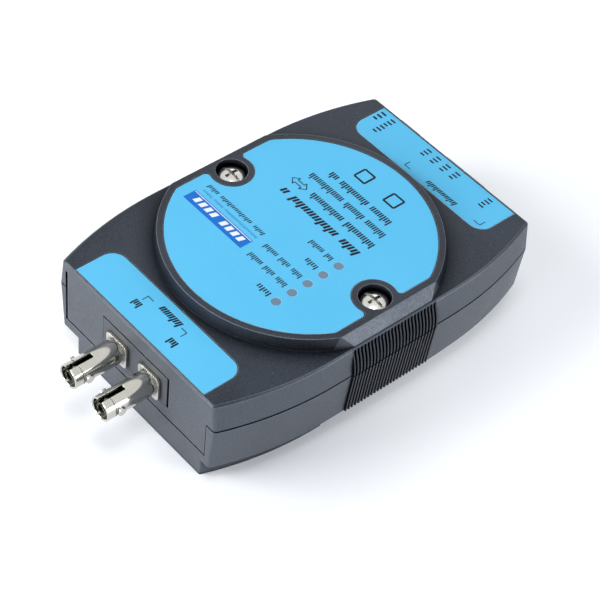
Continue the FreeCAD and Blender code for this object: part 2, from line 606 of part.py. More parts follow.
insert_holes = [rod("insert_hole_" + tag, "port_shank + seat_gap", "3 * wall", x,
                    "%s - wall" % MODULE_FACE, "port_axis", "+Y")
                for tag, x in PORTS]
piece(cut("port_insert_form", block("insert_plate", ("-insert_half", "insert_half"), (MODULE_FACE, END),
                                    ("insert_low", "insert_high")), insert_holes), "port_insert")
for tag, x in PORTS:
    module = block("module_block_" + tag, span(x, "module_wide"),
                   ("%s - module_deep" % MODULE_FACE, MODULE_FACE),
                   ("board_top", "port_axis + module_tall / 2"))
    module_tools = [
        rod("module_socket_" + tag, "port_shank + seat_gap", "2 * wall", x, SHANK_END, "port_axis", "+Y"),
        block("module_relief_" + tag, span(x, "module_wide - 4 * leg_width"),
              ("%s - module_deep + 2 * leg_width" % MODULE_FACE, "%s - 2 * leg_width" % MODULE_FACE),
              ("board_top - leg_width", "board_top + leg_width")),
    ]
    piece(cut("optical_module_%s_form" % tag, module, module_tools), "optical_module_" + tag)

    # turned port, from the end of its shank to the mouth of its barrel
    back, front = "(barrel_long + shank_long)", "(shank_long + flange_thick + base_long)"
    lip = "(barrel - mouth_break)"
    profile = [
        ("sleeve + seat_gap", "0"), ("port_shank", "0"), ("port_shank", "shank_long"),
        ("barrel", "shank_long"), ("barrel", "%s - groove_back - groove_wide" % back),
        ("barrel - groove_deep", "%s - groove_back - groove_wide" % back),
        ("barrel - groove_deep", "%s - groove_back" % back), ("barrel", "%s - groove_back" % back),
        ("barrel", "%s - mouth_break" % back), (lip, back), ("barrel_bore + mouth_break", back),
        ("barrel_bore", "%s - mouth_break" % back), ("barrel_bore", front), ("sleeve + seat_gap", front),
    ]
    barrel = turned("barrel_%s" % tag, profile, x, SHANK_END, "port_axis", "+Y")
    flange = body("flange_" + tag)
    half_x, half_z, bend = "(flange_wide / 2)", "(flange_tall / 2)", "flange_round"
    fx, fz = "(%s - %s)" % (half_x, bend), "(%s - %s)" % (half_z, bend)
    path = [
        (half_x, "-" + fz), (half_x, fz), (fx, half_z, fx, fz, 1), ("-" + fx, half_z),
        ("-" + half_x, fz, "-" + fx, fz, 1), ("-" + half_x, "-" + fz),
        ("-" + fx, "-" + half_z, "-" + fx, "-" + fz, 1),
        (fx, "-" + half_z), (half_x, "-" + fz, fx, "-" + fz, 1),
    ]
    pad(flange, "flange_sheet_" + tag, outline(flange, "flange_outline_" + tag, path[1:]), "flange_thick")
    place(flange, x, END, "port_axis", "+Y")
    flange_hole = rod("flange_hole_" + tag, "port_shank - seat_gap", "wall", x, "%s - wall / 2" % END,
                      "port_axis", "+Y")
    lug_y = "(%s - lug_back)" % MOUTH
    lugs = rod("lugs_" + tag, "lug_radius", "2 * lug_reach", "%s - lug_reach" % x, lug_y, "port_axis", "+X")
    port_tools = [
        rod("barrel_way_" + tag, "barrel_bore", "2 * barrel_bore + lug_radius", x,
            "%s - lug_radius - barrel_bore" % lug_y,
            "port_axis", "+Y"),
        block("keyway_" + tag, span(x, "keyway"), ("%s - keyway_long" % MOUTH, "%s + wall" % MOUTH),
              ("port_axis", "port_axis + 2 * barrel")),
    ]
    walls = joined("port_walls_" + tag, [barrel, cut("flange_ring_" + tag, flange, [flange_hole]), lugs])
    piece(cut("fibre_port_%s_form" % tag, walls, port_tools), "fibre_port_" + tag)

    sleeve_profile = [("sleeve_bore", "0"), ("sleeve", "0"), ("sleeve", "sleeve_long"),
                      ("sleeve_bore", "sleeve_long")]
    piece(turned("sleeve_%s" % tag, sleeve_profile, x, SHANK_END, "port_axis", "+Y"),
          "ferrule_sleeve_" + tag)

# Circuit board, its parts and screws -------------------------------------------

board = body("board")
board_path = [
    ("board_half", "-board_reach"), ("board_half", "-waist_reach"), ("waist_half", "-waist_reach"),
    ("waist_half", "waist_reach"), ("board_half", "waist_reach"), ("board_half", "board_reach"),
    ("-board_half", "board_reach"), ("-board_half", "waist_reach"), ("-waist_half", "waist_reach"),
    ("-waist_half", "-waist_reach"), ("-board_half", "-waist_reach"), ("-board_half", "-board_reach"),
]
pad(board, "board_sheet", outline(board, "board_outline", board_path, BOARD_FOOT), "board_thick")
board_holes = [rod("board_hole_%d" % i, "board_screw + hole_gap", "3 * board_thick", x, y,
                   "%s - board_thick" % BOARD_FOOT)
               for i, (x, y) in enumerate(POSTS)]
piece(cut("circuit_board_form", board, board_holes), "circuit_board")


def screw(name, head, tall, thread, length, x, y, level, slot, deep, domed=False, crossed=True):
    """Screw that stands on a level; a crossed one has both slots of a combined drive."""
    dome = "(%s * 0.45)" % tall
    ball = "((%s^2 + %s^2) / (2 * %s))" % (head, dome, dome)
    crown = ("0", tall, "0", "%s - %s" % (tall, ball), 1) if domed else ("0", tall)
    shoulder = "%s - %s" % (tall, dome) if domed else tall
    profile = [("0", "-(%s)" % length), (thread, "-(%s)" % length), (thread, "0"), (head, "0"),
               (head, shoulder), crown]
    over = "%s + 2 * %s" % (level, tall)
    floor = "%s + %s - %s" % (level, tall, deep)
    slots = [block(name + "_slot", span(x, "2.4 * %s" % head), span(y, slot), (floor, over))]
    if crossed:
        slots.append(block(name + "_cross", span(x, slot), span(y, "1.1 * %s" % head), (floor, over)))
    return cut(name, turned(name + "_turned", profile, x, y, level), slots)


piece(group("case_screws_set", [
    screw("case_screw_%d" % i, "head_radius", "head_tall", "shank", "screw_long", x, "0", COUNTERBORE_FLOOR,
          "driver_slot", "driver_deep", domed=True)
    for i, x in enumerate(SCREWS)]), "case_screws")
piece(group("board_screws_set", [
    screw("board_screw_%d" % i, "board_head", "board_head_tall", "board_screw", "board_screw_long", x, y,
          BOARD_TOP, "driver_slot * 0.7", "driver_deep * 0.6")
    for i, (x, y) in enumerate(POSTS)]), "board_screws")


def chip(label, x, y, width, deep, tall, leads, pitch):
    """Flat package on two rows of leads that stand on the board."""
    lift = "lead_lift"
    shapes = [block(label + "_package", span(x, width), span(y, deep),
                    ("board_top + " + lift, "board_top + " + tall))]
    for i in range(leads):
        at = "%s + %s * %s" % (y, i - (leads - 1) / 2, pitch)
        shapes.append(block("%s_lead_%d" % (label, i), span(x, "%s + 2 * lead_reach" % width),
                            span(at, "%s / 2" % pitch),
                            (BOARD_TOP, "board_top + 2 * " + lift)))
    return piece(joined(label + "_form", shapes), label)


chip("converter_chip", "chip_x", "chip_y", "chip_size", "chip_size", "chip_tall", 10, "lead_pitch")
chip("port_chip", "0", "-port_chip_y", "port_chip_size", "port_chip_size", "chip_tall", 7, "lead_pitch")
chip("line_transformer", "jack_x", "-transformer_y", "transformer_wide", "transformer_deep",
     "transformer_tall", 6, "lead_pitch")
piece(block("crystal_can", span("crystal_x", "crystal_wide"), span("crystal_y", "crystal_deep"),
            (BOARD_TOP, "board_top + crystal_tall")), "crystal")
piece(block("inductor_block", span("inductor_x", "inductor_size"), span("-inductor_y", "inductor_size"),
            (BOARD_TOP, "board_top + inductor_tall")), "power_inductor")
piece(group("smoothing_capacitors_set", [
    rod("capacitor_%d" % i, "capacitor", "capacitor_tall", "capacitor_x",
        "-capacitor_y + %d * capacitor_pitch" % i,
        BOARD_TOP) for i in range(2)]), "smoothing_capacitors")

# Status lamps and the light pipes over them ------------------------------------

LIGHTS = range(int(number("light_count")))
LIGHT_TOP = "(%s - label_recess + film)" % DISC_TOP
piece(group("status_lamps_set", [
    block("status_lamp_%d" % i, span("light_x", "lamp_size"),
          span("light_y + %d * light_pitch" % i, "lamp_size"),
          (BOARD_TOP, "board_top + lamp_tall")) for i in LIGHTS]), "status_lamps")
pipes = []
for i in LIGHTS:
    at = "light_y + %d * light_pitch" % i
    pipes += [
        rod("light_rod_%d" % i, "light_radius - pipe_gap",
            "%s - carrier_level - carrier_thick / 2" % LIGHT_TOP,
            "light_x", at, "carrier_level + carrier_thick / 2"),
        block("light_stem_%d" % i, span("light_x", "lamp_size"), span(at, "lamp_size"),
              ("board_top + 2 * lamp_tall", "carrier_level + carrier_thick / 2")),
    ]
carrier_y = ("light_y - light_pitch", "light_y + light_count * light_pitch")
pipes.append(block("light_carrier", span("light_x", "lamp_size"), carrier_y,
                   ("carrier_level", "carrier_level + carrier_thick")))
for tag, low, high in (("near", carrier_y[0], "%s + carrier_thick" % carrier_y[0]),
                       ("far", "%s - carrier_thick" % carrier_y[1], carrier_y[1])):
    pipes.append(block("light_leg_" + tag, span("light_x", "lamp_size"), (low, high),
                       (BOARD_TOP, "carrier_level + carrier_thick")))
piece(joined("light_pipes_form", pipes), "light_pipes")

# Labels --------------------------------------------------------------------------

windows = [rod("label_window_%d" % i, "light_radius", "2 * wall", "light_x",
               "light_y + %d * light_pitch" % i,
               "%s - wall" % DISC_TOP) for i in LIGHTS]
piece(cut("label_top_form", label_form("top_film", "0", "%s - label_recess" % DISC_TOP, "film"), windows),
      "label_top")
piece(end_label_form("fibre_film", "", "0", "%s - label_recess" % LOW_TOP, "film"), "label_fibre")
piece(end_label_form("rear_film", "-", "0", "%s - label_recess" % LOW_TOP, "film"), "label_rear")

# Modular socket ------------------------------------------------------------------

JACK_FRONT = "-(%s + jack_proud)" % END
JACK_BACK = "(%s + jack_deep)" % JACK_FRONT
JACK_TOP = "(board_top + jack_tall)"
PLUG_LOW, PLUG_HIGH = "(board_top + plug_sill)", "(board_top + plug_sill + plug_tall)"
jack_room = [span("jack_x", "jack_wide - 2 * jack_sheet"),
             ("%s + jack_sheet" % JACK_FRONT, "%s - jack_sheet" % JACK_BACK),
             (BOARD_TOP, "%s - jack_sheet" % JACK_TOP)]
plug_way = [
    block("plug_way", span("jack_x", "plug_wide"),
          ("%s - wall" % JACK_FRONT, "%s + plug_deep" % JACK_FRONT), (PLUG_LOW, PLUG_HIGH)),
    block("tab_way", span("jack_x", "tab_wide"), ("%s - wall" % JACK_FRONT, "%s + plug_deep" % JACK_FRONT),
          ("%s - tab_tall" % PLUG_LOW, "%s + tab_tall" % PLUG_LOW)),
]
piece(cut("jack_shield_form",
          block("jack_sheet_box", span("jack_x", "jack_wide"), (JACK_FRONT, JACK_BACK),
                (BOARD_TOP, JACK_TOP)),
          [block("jack_room", *jack_room)] + plug_way), "jack_shield")
WIRES = [(i, "jack_x + %s * contact_pitch" % (i - 3.5)) for i in range(8)]
WIRE_SIDE, WIRE_REST = "(%s + jack_sheet + plug_deep / 4)" % JACK_FRONT, "(%s + plug_deep)" % JACK_FRONT
piece(cut("jack_insert_form", block("jack_insert_block", *jack_room), plug_way + [
    block("wire_slot_%d" % i, span(x, "2 * contact_thick"), (WIRE_SIDE, WIRE_REST),
          (PLUG_HIGH, "%s + contact_lift" % PLUG_HIGH)) for i, x in WIRES]), "jack_insert")
wires = []
for i, x in WIRES:
    form = body("jack_wire_%d" % i)
    high = "(%s + contact_lift)" % PLUG_HIGH
    sweep = [
        (WIRE_REST, high), (WIRE_SIDE, high), (WIRE_SIDE, "%s - contact_thick" % high),
        ("%s + contact_thick" % WIRE_SIDE, "%s - contact_thick" % high),
        ("%s - plug_deep / 8" % WIRE_REST, "%s - contact_drop" % PLUG_HIGH),
        (WIRE_REST, "%s - contact_drop" % PLUG_HIGH),
        (WIRE_REST, "%s - contact_drop + contact_thick" % PLUG_HIGH),
        ("%s - plug_deep / 9" % WIRE_REST, "%s - contact_drop + contact_thick" % PLUG_HIGH),
        ("%s + 3 * contact_thick" % WIRE_SIDE, "%s - contact_thick" % high),
        (WIRE_REST, "%s - contact_thick" % high),
    ]
    pad(form, "jack_wire_%d_sheet" % i, outline(form, "jack_wire_%d_line" % i, sweep, x, "YZ_Plane"),
        "contact_thick", middle=True)
    wires.append(form)
piece(group("jack_contacts_set", wires), "jack_contacts")

# Pluggable screw terminals -------------------------------------------------------

HEADER_FRONT = "(header_front - %s)" % END
HEADER_BACK = "(%s + header_deep)" % HEADER_FRONT
SHOULDER = "(%s - shoulder_gap)" % HEADER_FRONT
BLOCK_FRONT = "(%s - block_deep)" % SHOULDER
MATING_END = "(%s + mating_long)" % SHOULDER
STRIP = "(board_top + strip_level)"
PIN_LOW = "(%s + strip_thick + strip_gap)" % STRIP
CHAMBER_FRONT = "(%s + chamber_wall)" % BLOCK_FRONT
CHAMBER_BACK = "(%s + cage_deep + 2 * cage_gap)" % CHAMBER_FRONT
CAGE_FRONT = "(%s + cage_gap)" % CHAMBER_FRONT
CAGE_Y = "(%s + cage_deep / 2)" % CAGE_FRONT
CAGE_TALL = "(cage_bar + cage_window + cage_head)"
CAGE_FOOT = "(%s + strip_thick + cage_clear - cage_window - cage_bar)" % STRIP
CHAMBER_TOP = "(%s + %s + cage_travel + cage_clear)" % (CAGE_FOOT, CAGE_TALL)
SCREW_SEAT = "(%s + ledge + turn_play)" % CHAMBER_TOP
WINDOW_SIDE = "((cage_wide - strip_wide) / 2 - cage_clear)"

pole_number = 0
for tag, x, poles in (("power", "power_x", 2), ("signal", "signal_x", 4)):
    half = "(%d * pole_pitch / 2)" % poles
    stations = ["%s + %s * pole_pitch" % (x, i - (poles - 1) / 2) for i in range(poles)]
    header = block(tag + "_header_block",
                   ("%s - %s - header_wall" % (x, half), "%s + %s + header_wall" % (x, half)),
                   (HEADER_FRONT, HEADER_BACK), (BOARD_TOP, "board_top + header_tall"))
    header_tools = [block(tag + "_header_room", ("%s - %s" % (x, half), "%s + %s" % (x, half)),
                          ("%s - wall" % HEADER_FRONT, "%s + plug_play" % MATING_END),
                          ("board_top + header_sill", "board_top + header_tall - header_wall"))]
    plug_walls = joined(tag + "_plug_walls", [
        block(tag + "_plug_block", ("%s - %s" % (x, half), "%s + %s" % (x, half)), (BLOCK_FRONT, SHOULDER),
              (BOARD_TOP, "board_top + block_tall")),
        block(tag + "_plug_mating", ("%s - %s + plug_play" % (x, half), "%s + %s - plug_play" % (x, half)),
              ("%s - wall" % SHOULDER, MATING_END),
              ("board_top + header_sill + plug_play", "board_top + header_tall - header_wall - plug_play")),
    ])
    pins, strips, plug_tools = [], [], []
    for i, pole in enumerate(stations):
        name = "%s_%d" % (tag, i)
        header_tools.append(block(name + "_pin_hole", span(pole, "pin_size + 2 * pin_fit"),
                                  (SHOULDER, "%s + wall" % HEADER_BACK),
                                  ("%s - pin_fit" % PIN_LOW, "%s + pin_size + pin_fit" % PIN_LOW)))
        pins.append(joined(name + "_pin", [
            block(name + "_pin_bar", span(pole, "pin_size"),
                  ("%s - pin_reach" % MATING_END, "%s + 1.5 * pin_size" % HEADER_BACK),
                  (PIN_LOW, "%s + pin_size" % PIN_LOW)),
            block(name + "_pin_leg", span(pole, "pin_size"),
                  ("%s + pin_size / 2" % HEADER_BACK, "%s + 1.5 * pin_size" % HEADER_BACK),
                  (BOARD_TOP, "%s + pin_size" % PIN_LOW))]))
        strips.append(block(name + "_strip", span(pole, "strip_wide"),
                            ("%s + cage_gap" % CHAMBER_FRONT, "%s - wall / 2" % MATING_END),
                            (STRIP, "%s + strip_thick" % STRIP)))
        plug_tools += [
            block(name + "_chamber", span(pole, "cage_wide + 2 * cage_gap"), (CHAMBER_FRONT, CHAMBER_BACK),
                  ("%s - cage_clear" % CAGE_FOOT, CHAMBER_TOP)),
            block(name + "_pin_way", span(pole, "strip_wide"), (CHAMBER_FRONT, "%s + wall" % MATING_END),
                  (STRIP, "%s + pin_size + 3 * cage_clear" % PIN_LOW)),
            block(name + "_wire_way", span(pole, "wire_wide"),
                  ("%s - wall" % BLOCK_FRONT, "%s + wall / 2" % CHAMBER_FRONT),
                  ("%s - wire_tall" % STRIP, STRIP)),
            rod(name + "_ledge_bore", "clamp_shank + turn_play", "2 * wall", pole, CAGE_Y,
                "%s - ledge" % CHAMBER_TOP),
            rod(name + "_head_way", "clamp_head + head_room", "2 * wall", pole, CAGE_Y,
                "%s + ledge" % CHAMBER_TOP),
        ]
        pole_number += 1
        clamp_tools = [
            block(name + "_cage_window", span(pole, "cage_wide - 2 * %s" % WINDOW_SIDE),
                  ("%s - wall" % CAGE_FRONT, "%s + cage_deep + wall" % CAGE_FRONT),
                  ("%s + cage_bar" % CAGE_FOOT, "%s + cage_bar + cage_window" % CAGE_FOOT)),
            rod(name + "_cage_bore", "clamp_shank + turn_play", "2 * cage_head", pole, CAGE_Y,
                "%s + cage_bar + cage_window - cage_bar" % CAGE_FOOT),
        ]
        piece(cut(name + "_cage",
                  block(name + "_cage_block", span(pole, "cage_wide"),
                        (CAGE_FRONT, "%s + cage_deep" % CAGE_FRONT),
                                        (CAGE_FOOT, "%s + %s" % (CAGE_FOOT, CAGE_TALL))), clamp_tools),
              "terminal_clamp_%d" % pole_number)
        clamp_long = "%s - %s - strip_thick - cage_clear" % (SCREW_SEAT, STRIP)
        piece(screw(name + "_clamp_screw", "clamp_head", "clamp_head_tall", "clamp_shank", clamp_long,
                    pole, CAGE_Y,
                    SCREW_SEAT, "clamp_slot", "clamp_head_tall / 2", crossed=False),
              "terminal_screw_%d" % pole_number)
    piece(cut(tag + "_header_form", header, header_tools), tag + "_header")
    piece(group(tag + "_pins_set", pins), tag + "_pins")
    piece(group(tag + "_contacts_set", strips), tag + "_contacts")
    piece(cut(tag + "_plug_form", plug_walls, plug_tools), tag + "_plug")

# Check and write -------------------------------------------------------------------

doc.recompute()
for item in doc.Objects:
    faults = [state for state in item.State if state in ("Invalid", "Error")]
    if faults:
        raise RuntimeError("%s is %s" % (item.Name, ", ".join(faults)))
os.makedirs("parts", exist_ok=True)
for item in pieces:
    if item.Shape.isNull() or not item.Shape.isValid():
        raise RuntimeError("%s has no valid shape" % item.Label)
    item.Shape.exportStep("parts/%s.step" % item.Label)
    print("%-20s solids %d  volume %.1f" % (item.Label, len(item.Shape.Solids), item.Shape.Volume))
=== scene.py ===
# %% [markdown]
# # Fibre media converter
# A small dark box that joins a fibre line to a copper line.  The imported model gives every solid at
# its real size, in metres.  This lesson keeps those solids where they are and adds what a maker
# adds last: moulded texture, plated metal, printed labels and light.

# %% Open the model
import bpy
import math
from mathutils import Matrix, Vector


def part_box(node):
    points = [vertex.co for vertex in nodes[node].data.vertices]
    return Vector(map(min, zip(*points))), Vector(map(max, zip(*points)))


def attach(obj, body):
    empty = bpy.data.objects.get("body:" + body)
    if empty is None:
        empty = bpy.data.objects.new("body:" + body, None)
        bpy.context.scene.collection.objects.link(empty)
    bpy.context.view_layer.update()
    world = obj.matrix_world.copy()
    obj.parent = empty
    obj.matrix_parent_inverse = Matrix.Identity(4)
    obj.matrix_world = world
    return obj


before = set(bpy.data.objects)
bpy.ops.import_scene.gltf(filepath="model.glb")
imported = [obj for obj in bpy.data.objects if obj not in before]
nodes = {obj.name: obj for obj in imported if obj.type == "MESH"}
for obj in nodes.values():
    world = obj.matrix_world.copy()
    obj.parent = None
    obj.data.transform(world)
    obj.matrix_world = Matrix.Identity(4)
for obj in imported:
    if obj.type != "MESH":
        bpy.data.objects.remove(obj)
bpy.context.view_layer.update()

# %% [markdown]
# ## Helpers for node trees
# A material is a small graph of nodes.  It can be wired node by node, but then the wiring hides the
# values that matter.  Each helper below adds one node and feeds it in one line: an input takes a
# link when it is given another node's output, and a plain value otherwise.

# %% Nodes, sums and blends
MM = 0.001
BLACK, WHITE = (0, 0, 0, 1), (1, 1, 1, 1)
# the black of the painted shade in gaps and along the parting line
GAP_SHADE_BLACK = (0.002, 0.002, 0.003, 1)


def feed(tree, value, socket):
    """Give an input socket a link or a plain value."""
    if isinstance(value, bpy.types.NodeSocket):
        tree.links.new(value, socket)
    else:
        socket.default_value = value


def add(tree, kind, **settings):
    """A node of one kind; a setting names a property or else an input, with _ for a space."""
    node = tree.nodes.new(kind)
    for name, value in settings.items():
        if hasattr(node, name):
            setattr(node, name, value)
        else:
            feed(tree, value, node.inputs[name.replace("_", " ")])
    return node


def maths(tree, operation, first, second=None, clamp=False):
    """One sum on sockets or plain numbers."""
    node = add(tree, "ShaderNodeMath", operation=operation, use_clamp=clamp)
    feed(tree, first, node.inputs[0])
    if second is not None:
        feed(tree, second, node.inputs[1])
    return node.outputs[0]


def measure(tree, operation, first, second=None):
    """A number from one or two vectors."""
    node = add(tree, "ShaderNodeVectorMath", operation=operation)
    feed(tree, first, node.inputs[0])
    if second is not None:
        feed(tree, second, node.inputs[1])
    return node.outputs["Value"]


def mix(tree, factor, first, second):
    """A blend of two colours."""
    return add(tree, "ShaderNodeMix", data_type="RGBA", Factor=factor, A=first, B=second).outputs["Result"]


def carry(tree, value, low, high, start=0.0, end=1.0, curve="LINEAR"):
    """The value carried over from the range start to end to the range low to high."""
    node = add(tree, "ShaderNodeMapRange", interpolation_type=curve, Value=value,
               From_Min=start, From_Max=end, To_Min=low, To_Max=high)
    return node.outputs["Result"]


def position(tree):
    """Where a point is on its own piece, in metres."""
    return add(tree, "ShaderNodeTexCoord").outputs["Object"]


def axes_of(tree, vector):
    """The X, Y and Z of a vector, as outputs with those names."""
    return add(tree, "ShaderNodeSeparateXYZ", Vector=vector).outputs


print("helpers for nodes ready")

# %% Node groups
FLOAT, COLOR, VECTOR = "NodeSocketFloat", "NodeSocketColor", "NodeSocketVector"


def new_group(name, inputs, outputs):
    """An empty node group; inputs are (name, kind, value), outputs are (name, kind)."""
    group = bpy.data.node_groups.new(name, "ShaderNodeTree")
    for label, kind, value in inputs:
        socket = group.interface.new_socket(name=label, in_out="INPUT", socket_type=kind)
        socket.default_value = value
    for label, kind in outputs:
        group.interface.new_socket(name=label, in_out="OUTPUT", socket_type=kind)
    return group, group.nodes.new("NodeGroupInput").outputs, group.nodes.new("NodeGroupOutput").inputs


def put_out(group, result, **values):
    """Link what a group gives."""
    for name, value in values.items():
        feed(group, value, result[name])
    print("group", group.name, "gives", ", ".join(values))


def place_group(tree, group, **values):
    """A group's node in a material; _ stands for a space in an input's name."""
    node = add(tree, "ShaderNodeGroup", node_tree=group)
    for name, value in values.items():
        feed(tree, value, node.inputs[name.replace("_", " ")])
    return node.outputs


print("helpers for groups ready")

# %% [markdown]
# ## Camera
# The box is looked at from above one corner.  A short lens would splay its sides, so the camera
# stands well back with a long lens, which keeps them nearly parallel, as in a catalogue.

# %% Place the camera
LENS_MM, SENSOR_MM = 123.5, 36.0
NEAR_CLIP = 0.01
CAMERA_PLACE = (-0.2686, 0.2682, 0.4077)
CAMERA_TURN = (43.266, -4.427, -130.506)  # degrees about X, Y and Z
camera_data = bpy.data.cameras.new("camera")
camera_data.lens = LENS_MM
camera_data.sensor_width = SENSOR_MM
camera_data.clip_start = NEAR_CLIP
camera = bpy.data.objects.new("camera", camera_data)
camera.location = CAMERA_PLACE
camera.rotation_euler = [math.radians(angle) for angle in CAMERA_TURN]
bpy.context.scene.collection.objects.link(camera)
bpy.context.scene.camera = camera
print("camera", round(camera.location.length, 3), "m from the frame's origin")

# %% [markdown]
# ## Floor
# The box stands on a plain pale sheet, which has to look white without losing the soft shadows.
# Brighter lamps would wash out the object's colours.  So the sheet gets a little glow of its own,
# which only the camera and mirror reflections see.  It grows with distance.  In front of the fibre
# end the glow dips: a painted shade that deepens the lamps' soft shade beside the feet.

# %% The sheet
FLOOR_SIZE = 3.0
half = FLOOR_SIZE / 2
floor_mesh = bpy.data.meshes.new("floor")
floor_corners = [(-half, -half, 0), (half, -half, 0), (half, half, 0), (-half, half, 0)]
floor_mesh.from_pydata(floor_corners, [], [(0, 1, 2, 3)])
floor = bpy.data.objects.new("floor", floor_mesh)
bpy.context.scene.collection.objects.link(floor)
print("floor", FLOOR_SIZE, "m square")

# %% Paint and glow of the sheet
NEAR_GLOW, FAR_GLOW = 0.28, 0.75
GLOW_FROM, GLOW_TO = 0.14, 0.80
# painted shade: the floor's glow dips around this place in front of the fibre end
SHADE_PLACE = (-0.036, 0.056, 0.0)
SHADE_DEPTH = 0.17
SHADE_FROM, SHADE_TO = 0.015, 0.075
floor_paint = bpy.data.materials.new("floor_paper")
floor_paint.use_nodes = True
tree = floor_paint.node_tree
surface = tree.nodes["Principled BSDF"]
surface.inputs["Roughness"].default_value = 0.85
surface.inputs["Specular IOR Level"].default_value = 0.1
mottle = add(tree, "ShaderNodeTexNoise", Scale=6.0, Detail=2.0).outputs["Fac"]
feed(tree, mix(tree, mottle, (0.84, 0.86, 0.90, 1), (0.88, 0.89, 0.92, 1)), surface.inputs["Base Color"])
ray = add(tree, "ShaderNodeLightPath").outputs
seen = maths(tree, "MAXIMUM", ray["Is Camera Ray"], ray["Is Glossy Ray"])
ground = position(tree)
rise = carry(tree, measure(tree, "LENGTH", ground), NEAR_GLOW, FAR_GLOW, GLOW_FROM, GLOW_TO, "SMOOTHSTEP")
# the dip that paints a soft shade on the floor
painted_shade_dip = carry(tree, measure(tree, "DISTANCE", ground, SHADE_PLACE), SHADE_DEPTH, 0.0,
            SHADE_FROM, SHADE_TO, "SMOOTHSTEP")
strength = maths(tree, "MULTIPLY", seen, maths(tree, "SUBTRACT", rise, painted_shade_dip))
glow = add(tree, "ShaderNodeEmission", Color=(0.97, 0.985, 1.0, 1), Strength=strength)
both = add(tree, "ShaderNodeAddShader")
feed(tree, surface.outputs["BSDF"], both.inputs[0])
feed(tree, glow.outputs["Emission"], both.inputs[1])
feed(tree, both.outputs["Shader"], tree.nodes["Material Output"].inputs["Surface"])
floor_mesh.materials.append(floor_paint)
print("glow from", NEAR_GLOW, "to", FAR_GLOW, "between", GLOW_FROM, "and", GLOW_TO, "m")

# %% [markdown]
# ## World
# A white tent surrounds the stage.  As light it is bright at the horizon and dimmer overhead, which
# shapes the box.  The camera, mirrors and clear parts see it plain white at strength 1, so the
# background stays white and the metal has something white to reflect.

# %% World light
HORIZON, ZENITH = 0.80, 0.22
ZENITH_FROM = 0.75  # the upward share of a direction from which the tent is at its dimmest
world = bpy.data.worlds.new("studio")
bpy.context.scene.world = world
world.use_nodes = True
tree = world.node_tree
tree.nodes.clear()
direction = axes_of(tree, add(tree, "ShaderNodeTexCoord").outputs["Generated"])
tent = carry(tree, direction["Z"], HORIZON, ZENITH, 0.0, ZENITH_FROM)
fill = add(tree, "ShaderNodeBackground", Color=(0.88, 0.93, 1.0, 1), Strength=tent)
white = add(tree, "ShaderNodeBackground", Color=WHITE, Strength=1.0)
ray = add(tree, "ShaderNodeLightPath").outputs
lens_or_glass = maths(tree, "MAXIMUM", ray["Is Camera Ray"], ray["Is Transmission Ray"])
lens_or_mirror = maths(tree, "MAXIMUM", lens_or_glass, ray["Is Glossy Ray"])
choose = add(tree, "ShaderNodeMixShader", Fac=lens_or_mirror)
feed(tree, fill.outputs["Background"], choose.inputs[1])
feed(tree, white.outputs["Background"], choose.inputs[2])
feed(tree, choose.outputs["Shader"], add(tree, "ShaderNodeOutputWorld").inputs["Surface"])
print("world strength", HORIZON, "at the horizon,", ZENITH, "overhead")

# %% [markdown]
# ## Lamps
# Large soft boxes give soft shadows and broad, quiet highlights.  A picture of a studio could light
# the stage too, but lamps are easier to follow and to tune.  The key stands beyond the fibre ports,
# on the side away from the camera.  Two low boxes lift the side and the end that face the camera,
# one hangs overhead, and a weak one at the back puts a sheen on the far surfaces.

# %% Studio lamps
LAMPS = [
    # name, place, aim, size in metres, power in watts, colour
    ("key_softbox", (0.45, 0.75, 0.55), (0.0, 0.03, 0.01), 0.55, 8.6, (1.0, 0.99, 0.97)),
    ("side_softbox", (-0.80, -0.48, 0.20), (0.0, 0.0, 0.02), 0.40, 4.5, (0.95, 0.98, 1.0)),
    ("end_softbox", (-0.10, 0.95, 0.18), (0.0, 0.0, 0.02), 0.35, 3.3, (0.97, 0.99, 1.0)),
    ("top_softbox", (-0.12, 0.12, 1.0), (0.0, 0.0, 0.01), 0.30, 2.2, (1.0, 1.0, 1.0)),
    ("back_softbox", (0.80, -0.85, 0.50), (0.0, 0.0, 0.02), 0.60, 0.9, (1.0, 1.0, 1.0)),
]
for name, place, aim, size, power, colour in LAMPS:
    lamp_data = bpy.data.lights.new(name, "AREA")
    lamp_data.shape = "SQUARE"
    lamp_data.size = size
    lamp_data.energy = power
    lamp_data.color = colour
    lamp = bpy.data.objects.new(name, lamp_data)
    lamp.location = place
    lamp.rotation_euler = (Vector(aim) - Vector(place)).to_track_quat("-Z", "Y").to_euler()
    bpy.context.scene.collection.objects.link(lamp)
print("lamps:", len(LAMPS))

# %% [markdown]
# ## Shared effects
# Eight effects come back in the finishes.  Each is a node group with named values, so that a finish
# only says how much of it it has.  The first is the fine grain that a spark-etched mould leaves.
# It could be a picture, but noise in the solid's own space needs no unwrapping and never repeats.

# %% Group: moulded grain
FINE_SHARE, BROAD_SHARE = 0.6, 0.4
BROAD_SCALE = 35.0
MIDDLE = 0.5  # the noise's own mean, which contrast leaves where it is
grain, given, result = new_group(
    "moulded_grain",
    [("Scale", FLOAT, 900.0), ("Depth", FLOAT, 0.3), ("Contrast", FLOAT, 1.0),
     ("Dark", COLOR, BLACK), ("Light", COLOR, WHITE),
     ("Rough Low", FLOAT, 0.4), ("Rough High", FLOAT, 0.6)],
    [("Color", COLOR), ("Roughness", FLOAT), ("Height", FLOAT)])
where = position(grain)
fine = add(grain, "ShaderNodeTexNoise", Vector=where, Scale=given["Scale"], Detail=3.0, Roughness=0.6)
broad = add(grain, "ShaderNodeTexNoise", Vector=where, Scale=BROAD_SCALE, Detail=2.0)
mixed = maths(grain, "ADD", maths(grain, "MULTIPLY", fine.outputs["Fac"], FINE_SHARE),
              maths(grain, "MULTIPLY", broad.outputs["Fac"], BROAD_SHARE))
stretched = maths(grain, "MULTIPLY", maths(grain, "SUBTRACT", mixed, MIDDLE), given["Contrast"])
blend = maths(grain, "ADD", stretched, MIDDLE, clamp=True)
